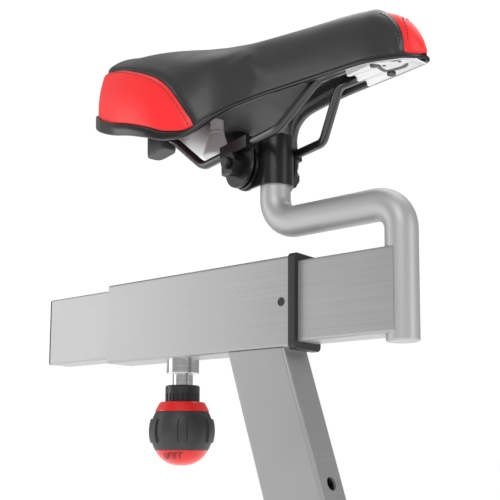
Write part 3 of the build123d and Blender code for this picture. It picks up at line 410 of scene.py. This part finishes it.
rail_black = coated("rail_black", linear(30, 30, 31), 0.24, metallic=0.2, strength=0.15, Coat_Weight=0.4)
shell_black = grained("shell_black", linear(42, 42, 44), 0.5, cells=1100.0, depth=0.00004)
rim_black = grained("rim_black", linear(18, 18, 19), 0.3, cells=1600.0, depth=0.00002)
# painted reflection: the moulded bosses under the shell are glossy black, drawn light grey where they catch
# the light
painted_sheen_grey = coated("boss_painted_sheen", linear(196, 196, 196), 0.35, strength=0.1)
silver_plate = coated("nose_silver", linear(214, 214, 215), 0.28, metallic=0.85, strength=0.12)
thread_black = grained("stitch_thread", linear(8, 8, 9), 0.6, cells=4000.0)
thread_red = grained("stitch_thread_red", linear(150, 16, 18), 0.6, cells=4000.0)
word_black = coated("word_black", linear(34, 14, 14), 0.45, strength=0.05)
foam_grey = grained("foam_grey", linear(90, 90, 92), 0.9, cells=1500.0)


def build_vinyl():
    """The cover's two vinyls: black where the attribute panel is positive, red where it is negative, and
    a narrow darker band on the seam itself, painted shade for the seam's groove. The grain is coarser on the
    black."""
    # the third colour is a near-black painted shade for the groove along the seam
    black, red, seam_shade = linear(33, 33, 34), linear(232, 20, 23), linear(14, 14, 15)
    material, tree, shader = new_material("saddle_vinyl", black, Coat_Weight=0.05)
    panel = tree.nodes.new("ShaderNodeAttribute")
    panel.attribute_name = "panel"
    is_black = math_node(tree, "MULTIPLY_ADD", panel.outputs["Fac"], 4.0, 0.5, clamp=True)
    colour = tree.nodes.new("ShaderNodeMix")
    colour.data_type = "RGBA"
    colour.inputs["A"].default_value = red
    colour.inputs["B"].default_value = black
    tree.links.new(is_black, colour.inputs["Factor"])
    # painted seam shade: full in a band about 1.3 mm wide, centred 0.75 mm to the black side of the seam
    off_middle = math_node(tree, "ABSOLUTE", math_node(tree, "SUBTRACT", panel.outputs["Fac"], 0.75))
    seam_shade_share = math_node(tree, "MULTIPLY_ADD", off_middle, -4.0, 3.6, clamp=True)
    seam_shaded = tree.nodes.new("ShaderNodeMix")
    seam_shaded.data_type = "RGBA"
    seam_shaded.inputs["B"].default_value = seam_shade
    tree.links.new(colour.outputs["Result"], seam_shaded.inputs["A"])
    tree.links.new(seam_shade_share, seam_shaded.inputs["Factor"])
    grain = use_group(tree, cell_grain, Cell_Scale=1000.0, Patch_Scale=14.0)
    shade_colour(
        tree, shader, seam_shaded.outputs["Result"],
        math_node(tree, "MULTIPLY_ADD", grain.outputs["Patch"], 0.18, 1.0),
    )
    rough = math_node(tree, "MULTIPLY_ADD", is_black, -0.06, 0.46)
    rough = math_node(tree, "MULTIPLY_ADD", grain.outputs["Patch"], 0.2, rough)
    tree.links.new(rough, shader.inputs["Roughness"])
    bump(tree, shader, grain.outputs["Height"], 0.5, 0.00006)
    return material


saddle_vinyl = build_vinyl()

FINISH = {
    "seat_post": post_steel, "slider_sleeve": sleeve_steel, "knob_boss": boss_steel,
    "post_end_plug": black_plastic, "front_liner": black_plastic, "rear_liner": black_plastic,
    "slider_tube": slider_steel, "slider_end_plug": black_plastic, "gooseneck": tube_paint,
    "tube_foot_cap": tube_paint, "neck_cap": black_plastic, "tube_welds": tube_paint,
    "plunger_barrel": boss_steel, "barrel_bush": boss_steel, "plunger_pin": boss_steel,
    "plunger_spring": spring_wire, "knob_screw": boss_steel, "knob_collar": collar_plastic,
    "knob_core": collar_plastic, "knob_ring": red_plastic, "knob_grip": grip_rubber,
    "knob_cap": red_plastic, "clamp_strap": black_zinc, "clamp_spacer": black_zinc,
    "clamp_inner_left": black_zinc, "clamp_inner_right": black_zinc, "clamp_outer_left": black_zinc,
    "clamp_outer_right": black_zinc, "clamp_bolt": black_zinc, "clamp_washers": black_zinc,
    "clamp_nuts": black_zinc, "saddle_rails": rail_black, "saddle_base": shell_black,
    "saddle_foam": foam_grey, "cover_top": saddle_vinyl, "cover_rear": saddle_vinyl,
    "cover_nose": saddle_vinyl, "nose_plate": silver_plate, "nose_screw": black_zinc,
}
for name, material in FINISH.items():
    nodes[name].data.materials.clear()
    nodes[name].data.materials.append(material)

# ---------------------------------------------------------------- upholstery
tail, tip = SADDLE_STATIONS[0, 0], SADDLE_STATIONS[-1, 0]


def rounded_arch(turn, half, foot, top, curve):
    """Side and height of a rounded-square arch at each turn from 0 (right foot) to pi (left foot)."""
    across, lift = -np.cos(turn), np.sin(turn)
    side = np.sign(across) * half * np.abs(across) ** curve
    return side, foot + (top - foot) * np.abs(lift) ** curve


def cushion_rings():
    """Closed sections of the cushion from tail to nose. Each end is a quarter ellipse in plan: the ring's
    scale is the sine, and its place the cosine, of an angle that runs from the end's middle."""
    end = np.radians(np.linspace(3, 90, 9))
    middle = np.linspace(tail + 5, tip - 4, 92)
    ahead = np.concatenate((tail - 1 + 6 * (1 - np.cos(end)), middle[1:-1],
                            (tip + 1 - 5 * (1 - np.cos(end)))[::-1]))
    scale = np.concatenate((np.sin(end), np.ones(len(middle) - 2), np.sin(end)[::-1]))
    half, rim, lip, shell_middle, crown = (m[:, None] for m in saddle_measures(ahead))
    foot = rim + lip * LIP_LAP
    turn = np.linspace(0, np.pi, 57)[None, :]
    squarer = SECTION_CURVE - 0.16 * np.clip((tail + 24 - ahead) / 24, 0, 1)[:, None]
    over = rounded_arch(turn, half - COVER_INSET, foot, crown - COVER_INSET, squarer)
    floor_up = np.minimum(shell_middle + SHELL_THICK + 1, crown - 4)
    under = rounded_arch(turn[:, ::-1], half - COVER_INSET - 5, rim + lip + 1, floor_up, SHELL_CURVE)
    side = np.concatenate((over[0], under[0][:, 1:-1]), axis=1)
    up = np.concatenate((over[1], under[1][:, 1:-1]), axis=1)
    centre = (foot + crown) / 2
    return saddle_place(ahead[:, None], side * scale[:, None], centre + (up - centre) * scale[:, None])


def evaluated(piece):
    """The piece's mesh with its modifiers applied, put in place of its own mesh."""
    graph = bpy.context.evaluated_depsgraph_get()
    mesh = bpy.data.meshes.new_from_object(piece.evaluated_get(graph))
    piece.modifiers.clear()
    piece.data = mesh


def coordinates(mesh):
    """The mesh's points as an array."""
    points = np.zeros(len(mesh.vertices) * 3)
    mesh.vertices.foreach_get("co", points)
    return points.reshape(-1, 3)


def seam_distance(seam, ahead, up):
    """Signed distance in side view to a seam's curve, positive on its left as it is drawn."""
    t = np.linspace(0, 1, len(seam))
    fine = np.linspace(0, 1, 200)
    curve = np.stack([smooth_between(t, seam[:, k], fine) for k in (0, 1)], axis=1)
    start, run = curve[:-1], np.diff(curve, axis=0)
    offset = np.stack((ahead, up), axis=1)[:, None, :] - start[None]
    share = np.clip((offset * run).sum(-1) / (run * run).sum(-1), 0, 1)
    gap = offset - share[..., None] * run
    length = np.sqrt((gap ** 2).sum(-1))
    nearest = length.argmin(axis=1)
    picked = np.arange(len(ahead))
    cross = run[nearest, 0] * gap[picked, nearest, 1] - run[nearest, 1] * gap[picked, nearest, 0]
    return np.where(cross >= 0, 1, -1) * length[picked, nearest]


CLOTH_FRAMES = 20


def swell(piece, limit, held_below):
    """Cloth under light inner pressure, held at the lip; no point moves further than the limit."""
    rest = coordinates(piece.data)
    ahead, _, up = saddle_coordinates(rest)
    _, rim, lip, _, _ = saddle_measures(ahead)
    held = piece.vertex_groups.new(name="held")
    held.add([int(i) for i in np.flatnonzero(up < rim + lip + held_below)], 1.0, "REPLACE")
    cloth = piece.modifiers.new("swell", "CLOTH")
    cloth.settings.quality = 5
    cloth.settings.mass = 0.3
    cloth.settings.tension_stiffness = 25
    cloth.settings.compression_stiffness = 25
    cloth.settings.bending_stiffness = 4
    cloth.settings.use_pressure = True
    cloth.settings.uniform_pressure_force = 4.0
    cloth.settings.effector_weights.gravity = 0.0
    cloth.settings.vertex_group_mass = "held"
    cloth.point_cache.frame_start = 1
    cloth.point_cache.frame_end = CLOTH_FRAMES
    for step in range(1, CLOTH_FRAMES + 1):
        scene.frame_set(step)
    graph = bpy.context.evaluated_depsgraph_get()
    swollen = coordinates(piece.evaluated_get(graph).data)
    piece.modifiers.clear()
    move = swollen - rest
    length = np.linalg.norm(move, axis=1)
    move *= (np.minimum(length, limit) / np.maximum(length, 1e-9))[:, None]
    piece.data.vertices.foreach_set("co", (rest + move).ravel())
    scene.frame_set(1)


cushion = swept_piece("saddle_cushion", cushion_rings(), None, body=None)
swell(cushion, limit=0.0024, held_below=5.0)
refine = cushion.modifiers.new("refine", "SUBSURF")
refine.levels = refine.render_levels = 2
evaluated(cushion)


def sew_panels(piece):
    """Writes the panel attribute, pulls the cover in along both seams and pads it slightly beside them."""
    mesh = piece.data
    points = coordinates(mesh)
    ahead, _, up = saddle_coordinates(points)
    rear = seam_distance(REAR_SEAM, ahead, up)
    nose = seam_distance(NOSE_SEAM, ahead, up)
    panel = np.minimum(rear, -nose)
    nearest = np.minimum(np.abs(rear), np.abs(nose))
    _, rim, lip, _, _ = saddle_measures(ahead)
    normals = np.zeros(len(points) * 3)
    mesh.vertices.foreach_get("normal", normals)
    normals = normals.reshape(-1, 3)
    groove = -0.9 * np.exp(-(nearest / 1.6) ** 2) + 0.5 * np.exp(-((nearest - 5) / 4) ** 2)
    tuck = -0.8 * np.exp(-np.maximum(up - rim - lip, 0) / 1.6)
    points = points + normals * ((groove + tuck) * MM)[:, None]
    mesh.vertices.foreach_set("co", points.ravel())
    attribute = mesh.attributes.new("panel", "FLOAT", "POINT")
    attribute.data.foreach_set("value", panel.astype(np.float32))
    mesh.polygons.foreach_set("use_smooth", np.ones(len(mesh.polygons), bool))
    mesh.update()


sew_panels(cushion)
cushion.data.materials.clear()
cushion.data.materials.append(saddle_vinyl)
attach(cushion, "saddle")
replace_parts(cushion, "saddle_foam", "cover_top", "cover_rear", "cover_nose")


def surface_side(ahead, up):
    """Half width of the cover at that height: the section's arch solved for its side."""
    half, rim, lip, _, crown = saddle_measures(ahead)
    foot = rim + lip * LIP_LAP
    lift = np.clip((up - foot) / (crown - foot), 0, 1) ** (1 / SECTION_CURVE)
    return half * np.sqrt(np.clip(1 - lift ** 2, 0, 1)) ** SECTION_CURVE


STITCH_PITCH, STITCH_LENGTH, THREAD_RADIUS = 0.0036, 0.0028, 0.00038


def stitch_row(name, seam, offset, first, last, thread):
    """Short stitches laid end to end beside a seam on both sides of the saddle, each a small bar that
    dips at both ends. Rays cast inwards put them on the cover."""
    t = np.linspace(0, 1, len(seam))
    fine = np.linspace(first, last, 400)
    ahead = smooth_between(t, seam[:, 0], fine)
    up = smooth_between(t, seam[:, 1], fine)
    run = np.stack((np.gradient(ahead), np.gradient(up)), axis=1)
    run /= np.linalg.norm(run, axis=1)[:, None]
    ahead, up = ahead - run[:, 1] * offset, up + run[:, 0] * offset
    tree = BVHTree.FromPolygons([tuple(p) for p in coordinates(cushion.data)],
                                [tuple(f.vertices) for f in cushion.data.polygons])
    rings, faces, count = [], [], 0
    for sign in (-1, 1):
        side = sign * (surface_side(ahead, up) + 25)
        starts = saddle_place(ahead, side, up)
        inwards = saddle_place(0.0, -sign, 0.0) - saddle_place(0.0, 0.0, 0.0)
        inwards /= np.linalg.norm(inwards)
        hits = [tree.ray_cast(tuple(s), tuple(inwards)) for s in starts]
        path = np.array([tuple(h[0]) for h in hits if h[0] is not None])
        normal = np.array([tuple(h[1]) for h in hits if h[0] is not None])
        length = np.concatenate(([0], np.cumsum(np.linalg.norm(np.diff(path, axis=0), axis=1))))
        for begin in np.arange(0.001, length[-1] - 0.004, STITCH_PITCH):
            at = np.linspace(begin, begin + STITCH_LENGTH, 5)
            centre = np.stack([np.interp(at, length, path[:, k]) for k in range(3)], axis=1)
            out = np.stack([np.interp(at, length, normal[:, k]) for k in range(3)], axis=1)
            dip = np.array((-0.0003, 0.00012, 0.00022, 0.00012, -0.0003))[:, None]
            ring = tube_along(centre + out * dip, THREAD_RADIUS, count=6)
            rings.append(ring.reshape(-1, 3))
            faces.append(grid_faces(5, 6, closed_columns=True) + count)
            count += 30
    add_piece(name, np.concatenate(rings), np.concatenate(faces), thread)


stitch_row("rear_stitches_black", REAR_SEAM, 2.6, 0.12, 0.95, thread_black)
stitch_row("rear_stitches_red", REAR_SEAM, -2.6, 0.12, 0.95, thread_red)
stitch_row("nose_stitches_black", NOSE_SEAM, -2.2, 0.2, 0.9, thread_black)
stitch_row("nose_stitches_red", NOSE_SEAM, 3.2, 0.2, 0.9, thread_red)


# ---------------------------------------------------------------- moulded shell under the cushion
def shell_rings():
    """Closed section of the shell: up the outside of the lip, over, then the arch of the underside, with
    a small round at the rim."""
    ahead = np.linspace(tail + 0.8, tip - 0.8, 200)
    half, rim, lip, middle, _ = (m[:, None] for m in saddle_measures(ahead))
    to_end = np.minimum(ahead - tail, tip - ahead)[:, None]
    half = half * (0.8 + 0.2 * np.sqrt(np.clip(1 - (1 - np.clip(to_end / 8, 0, 1)) ** 2, 0, 1)))
    outer = half + 0.7
    inner = half - COVER_THICK - LIP_THICK
    turn = np.linspace(0, np.pi, 61)[None, :]
    under = rounded_arch(turn, inner, rim + 1.0, middle, SHELL_CURVE)
    over = rounded_arch(turn[:, ::-1], inner + 0.2, rim + lip, middle + SHELL_THICK, SHELL_CURVE)
    bend = np.radians(np.linspace(0, 180, 9))[None, :]
    rim_half, rim_middle = (outer - inner) / 2, (outer + inner) / 2
    bottom_left = (rim_middle + rim_half * -np.cos(bend), rim + 1.0 - 1.0 * np.sin(bend))
    side = np.concatenate((under[0], bottom_left[0], outer, outer - EDGE_ROUND, over[0], -outer + EDGE_ROUND,
                           -outer, -bottom_left[0][:, ::-1]), axis=1)
    top = rim + lip
    up = np.concatenate((under[1], bottom_left[1], top - EDGE_ROUND, top, over[1], top, top - EDGE_ROUND,
                         bottom_left[1][:, ::-1]), axis=1)
    return saddle_place(ahead[:, None], side, up)


shell = swept_piece("saddle_shell", shell_rings(), shell_black)
shell.data.materials.append(rim_black)
centres = np.zeros(len(shell.data.polygons) * 3)
shell.data.polygons.foreach_get("center", centres)
face_ahead, face_side, _ = saddle_coordinates(centres.reshape(-1, 3))
on_lip = np.abs(face_side) > saddle_measures(face_ahead)[0] - COVER_THICK - LIP_THICK + 0.4
shell.data.polygons.foreach_set("material_index", on_lip.astype(np.int32))
crease = shell.modifiers.new("edges", "EDGE_SPLIT")
crease.split_angle = np.radians(50)
evaluated(shell)
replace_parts(shell, "saddle_base")


SOCKET_CENTRE, SOCKET_SIZE = (-89.0, 38.0, 32.0), (30.0, 15.0, 42.0)


def rail_socket(name, sign):
    """A block along the saddle whose plan is a rounded square, rounded over at its lower end."""
    turn = np.linspace(0, 2 * np.pi, 40, endpoint=False)
    plan_a = np.sign(np.cos(turn)) * np.abs(np.cos(turn)) ** 0.5
    plan_s = np.sign(np.sin(turn)) * np.abs(np.sin(turn)) ** 0.5
    level = np.array((0.0, 0.0, 0.04, 0.12, 1.0))
    scale = np.array((0.90, 0.96, 0.99, 1.0, 1.0))
    ahead = SOCKET_CENTRE[0] + SOCKET_SIZE[0] / 2 * plan_a[None, :] * scale[:, None]
    side = sign * SOCKET_CENTRE[1] + SOCKET_SIZE[1] / 2 * plan_s[None, :] * scale[:, None]
    up = SOCKET_CENTRE[2] + SOCKET_SIZE[2] * level[:, None] + 0 * ahead
    swept_piece(name, saddle_place(ahead, side, up), shell_black)


def turned_boss():
    """The cone boss: its profile of radius and height revolved about an upright line under the shell."""
    radius = np.array((0.2, 8.0, 10.6, 11.5, 11.4, 9.2, 7.2, 6.8, 6.6, 5.8, 5.8))
    height = np.array((29.0, 29.0, 29.6, 31.0, 33.0, 41.0, 48.0, 49.2, 51.5, 53.5, 66.0))
    fine = np.linspace(0, 1, 60)
    t = np.linspace(0, 1, len(radius))
    r, up = smooth_between(t, radius, fine), smooth_between(t, height, fine)
    turn = np.linspace(0, 2 * np.pi, 48, endpoint=False)
    boss_ahead = -62.0
    place = saddle_place(boss_ahead + r[:, None] * np.cos(turn), r[:, None] * np.sin(turn), up[:, None])
    # the boss is drawn light grey, a painted reflection on the glossy black moulding
    swept_piece("saddle_boss", place, painted_sheen_grey)


def cross_lobe():
    """A round bar across the saddle with ball-shaped ends: circles whose radius falls off as a quarter
    ellipse near both ends."""
    reach, end, thin, fat = 20.0, 8.0, 7.0, 8.0
    lobe_ahead, lobe_up = -90.0, 56.0
    side = reach * np.sin(np.radians(np.linspace(-89, 89, 60)))
    fall = np.clip((np.abs(side) - reach + end) / end, 0, 1)
    r = thin + fat * np.sqrt(1 - fall ** 2)
    turn = np.linspace(0, 2 * np.pi, 48, endpoint=False)
    place = saddle_place(lobe_ahead + r[:, None] * np.cos(turn), side[:, None],
                         lobe_up + r[:, None] * np.sin(turn))
    # the lobe is drawn light grey, a painted reflection on the glossy black moulding
    swept_piece("saddle_cross_lobe", place, painted_sheen_grey)


rail_socket("rail_socket_right", -1)
rail_socket("rail_socket_left", 1)
turned_boss()
cross_lobe()


# ---------------------------------------------------------------- nose plate
def plate_level(ahead, across):
    """Height of the plate's lower face: it follows the rim, with three long ridges, squares of a cosine
    across the plate, that fade out towards the nose."""
    rim = saddle_measures(np.ravel(ahead))[1].reshape(np.shape(ahead))
    ridge = np.cos(1.5 * np.pi * across) ** 2
    faded = np.clip(1 - (ahead - 112) / 32, 0, 1)
    return rim - 1.0 - 1.6 * ridge * faded + 1.2 * np.abs(across) ** 8


PLATE_THICK = 1.3


def nose_plate_piece():
    """A thin plate between the lips on a grid of ahead and across. Its rear edge waves with the ridges,
    and its width follows the lips."""
    rows, columns = 90, 61
    t = np.linspace(0, 1, rows)[:, None]
    v = np.linspace(-1, 1, columns)[None, :]
    rear_edge = 115.0 - 2.2 * v - 2.4 * np.cos(1.5 * np.pi * v) ** 2
    ahead = rear_edge + (172.5 - rear_edge) * t
    half = saddle_measures(ahead.ravel())[0].reshape(ahead.shape)
    side = v * (half - PLATE_CLEAR)
    up = plate_level(ahead, v + 0 * t)
    low, high = saddle_place(ahead, side, up), saddle_place(ahead, side, up + PLATE_THICK)
    points = np.concatenate((low.reshape(-1, 3), high.reshape(-1, 3)))
    lower = grid_faces(rows, columns)
    last = (rows - 1) * columns
    border = np.concatenate((np.arange(columns), np.arange(1, rows) * columns + columns - 1,
                             last + np.arange(columns - 2, -1, -1), np.arange(rows - 2, 0, -1) * columns))
    after = np.roll(border, -1)
    size = rows * columns
    wall = np.stack((border, after, after + size, border + size), axis=1)
    faces = np.concatenate((lower, lower[:, ::-1] + size, wall))
    return add_piece("nose_underplate", points, faces, silver_plate)


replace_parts(nose_plate_piece(), "nose_plate")


def painted_opening_shade(name, path, width, drop=0.25):
    """A flat dark strip on the plate's lower face along a path of (ahead, side) points: painted shade
    standing for the inside of an opening in the plate. Its half width falls to nothing at both ends."""
    path = np.array(path, float)
    t = np.linspace(0, 1, len(path))
    fine = np.linspace(0, 1, 60)
    ahead, side = (smooth_between(t, path[:, k], fine) for k in (0, 1))
    run = np.stack((np.gradient(ahead), np.gradient(side)), axis=1)
    run /= np.linalg.norm(run, axis=1)[:, None]
    half = width / 2 * np.sqrt(np.clip(1 - np.abs(2 * fine - 1) ** 6, 0, 1)) + 0.02
    v = np.linspace(-1, 1, 7)[None, :]
    a = ahead[:, None] - run[:, 1:] * half[:, None] * v
    s = side[:, None] + run[:, :1] * half[:, None] * v
    width_here = saddle_measures(a.ravel())[0].reshape(a.shape) - PLATE_CLEAR
    up = plate_level(a, s / width_here) - drop
    add_piece(name, saddle_place(a, s, up), grid_faces(60, 7), rim_black)


# dark strips of painted shade where the plate has slots and holes; the plate is not cut through
SLOT_SWEEP = (
    (142.5, -8.2), (138.8, -4.0), (138.6, 0.4), (143.5, 2.8), (153.3, 2.2), (161.5, -1.6),
)
painted_opening_shade("slot_sweep", SLOT_SWEEP, 3.0)
painted_opening_shade("slot_eye", ((136.8, -12.0), (139.0, -10.4), (142.6, -7.6)), 4.6, drop=0.3)
painted_opening_shade("tongue_hole_rear", ((143.6, -7.0), (144.6, -6.6), (145.8, -6.2)), 1.9)
painted_opening_shade("tongue_hole_front", ((158.0, -7.0), (159.0, -6.8), (160.2, -6.4)), 1.7)


# ---------------------------------------------------------------- word on the knob's cap
LETTER_HEIGHT = 0.0052
FONT_CAPITAL = 0.7           # a capital's height in the font's own units
WORD_DOWN = 0.0018           # letters' heads below the grip
WORD_ANGLE = np.radians(-66)
WRAP_RADIUS = 0.020
CAP_RADIUS, CAP_DEPTH = 0.0212, 0.012
WORD_PROUD = 0.00035


def cap_word(text):
    """The word wrapped round the cap's side: across becomes an angle about the knob, up runs down the
    dome."""
    curve = bpy.data.curves.new("pull_word", "FONT")
    curve.body = text
    curve.size = 1.0
    curve.align_x = "CENTER"
    letters = bpy.data.objects.new("pull_word_curve", curve)
    scene.collection.objects.link(letters)
    graph = bpy.context.evaluated_depsgraph_get()
    mesh = bpy.data.meshes.new_from_object(letters.evaluated_get(graph))
    bpy.data.objects.remove(letters)
    work = bmesh.new()
    work.from_mesh(mesh)
    bmesh.ops.subdivide_edges(work, edges=work.edges, cuts=3, use_grid_fill=True)
    bmesh.ops.triangulate(work, faces=work.faces)
    work.to_mesh(mesh)
    work.free()
    flat = coordinates(mesh) * LETTER_HEIGHT / FONT_CAPITAL
    down = WORD_DOWN + flat[:, 1]
    share = np.clip(down / CAP_DEPTH, 0, 1)
    radius = CAP_RADIUS * np.sqrt(np.clip(1 - share ** 2.1 * 0.93, 0, 1)) + WORD_PROUD
    angle = WORD_ANGLE + flat[:, 0] / WRAP_RADIUS
    points = np.stack((KNOB_X + radius * np.cos(angle), radius * np.sin(angle), GRIP_BOTTOM - down), axis=1)
    word = bpy.data.meshes.new("pull_word")
    word.from_pydata(points, [], [tuple(p.vertices) for p in mesh.polygons])
    piece = bpy.data.objects.new("pull_word", word)
    scene.collection.objects.link(piece)
    word.materials.append(word_black)
    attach(piece, "knob")


cap_word("PULL")

# ---------------------------------------------------------------- stage, light and camera
def stand(thing, name, right, up, back, place):
    """A light or camera linked to the scene, its own axes along right, up and back."""
    stood = bpy.data.objects.new(name, thing)
    scene.collection.objects.link(stood)
    matrix = Matrix.Identity(4)
    for k in range(3):
        matrix[k][0], matrix[k][1], matrix[k][2], matrix[k][3] = right[k], up[k], back[k], place[k]
    stood.matrix_world = matrix
    return stood


def area_light(name, place, aim, size, power):
    """A rectangular light at a place, aimed at a point."""
    lamp = bpy.data.lights.new(name, "AREA")
    lamp.shape = "RECTANGLE"
    lamp.size, lamp.size_y = size
    lamp.energy = power
    place, aim = np.array(place, float), np.array(aim, float)
    back = (place - aim) / np.linalg.norm(place - aim)
    right = np.cross((0.0, 0.0, 1.0), back)
    right /= np.linalg.norm(right)
    stand(lamp, name, right, np.cross(back, right), back, place)


floor_material, _, floor_shader = new_material("stage_floor", linear(252, 252, 252), Roughness=0.9)
floor_shader.inputs["Emission Color"].default_value = (1, 1, 1, 1)
floor_shader.inputs["Emission Strength"].default_value = 0.62
SPAN = 30.0
floor_mesh = bpy.data.meshes.new("stage_floor")
floor_corners = [(SPAN * x, SPAN * y, FLOOR_Z) for x, y in ((-1, -1), (1, -1), (1, 1), (-1, 1))]
floor_mesh.from_pydata(floor_corners, [], [(0, 1, 2, 3)])
floor_mesh.materials.append(floor_material)
floor = bpy.data.objects.new("stage_floor", floor_mesh)
scene.collection.objects.link(floor)

# the camera sees a white background (LIT + SEEN), and the object is lit by a dimmer one (LIT)
SEEN, LIT = 0.62, 0.4
world = bpy.data.worlds.new("studio")
scene.world = world
world.use_nodes = True
sky_tree = world.node_tree
sky = sky_tree.nodes["Background"]
sky.inputs["Color"].default_value = (1, 1, 1, 1)
paths = sky_tree.nodes.new("ShaderNodeLightPath")
strength = math_node(sky_tree, "MULTIPLY_ADD", paths.outputs["Is Camera Ray"], SEEN, LIT)
sky_tree.links.new(strength, sky.inputs["Strength"])

MIDDLE = (-0.1, 0.0, 0.3)
area_light("key", (0.5, -1.3, 1.2), MIDDLE, (0.9, 0.7), 9)
area_light("left", (-1.3, -0.8, 0.6), MIDDLE, (0.7, 1.0), 5)
area_light("right", (1.3, 0.2, 0.5), MIDDLE, (0.5, 1.0), 4)
area_light("top", (-0.1, 0.3, 1.5), MIDDLE, (1.2, 1.2), 9)

CAMERA_PLACE = (0.3324, -0.5140, 0.1709)
YAW, PITCH, ROLL = np.radians((36.531, 6.775, -0.029))
forward = np.array((-np.sin(YAW) * np.cos(PITCH), np.cos(YAW) * np.cos(PITCH), np.sin(PITCH)))
level = np.array((np.cos(YAW), np.sin(YAW), 0.0))
upright = np.cross(level, forward)
right = np.cos(ROLL) * level + np.sin(ROLL) * upright
over = -np.sin(ROLL) * level + np.cos(ROLL) * upright
camera_data = bpy.data.cameras.new("camera")
camera_data.sensor_width = 36.0
camera_data.lens = 62.85
camera_data.shift_x, camera_data.shift_y = -0.10, 0.20
camera_data.clip_start = 0.01
scene.camera = stand(camera_data, "camera", right, over, -forward, CAMERA_PLACE)
scene.view_settings.view_transform = "Standard"
scene.view_settings.look = "None"
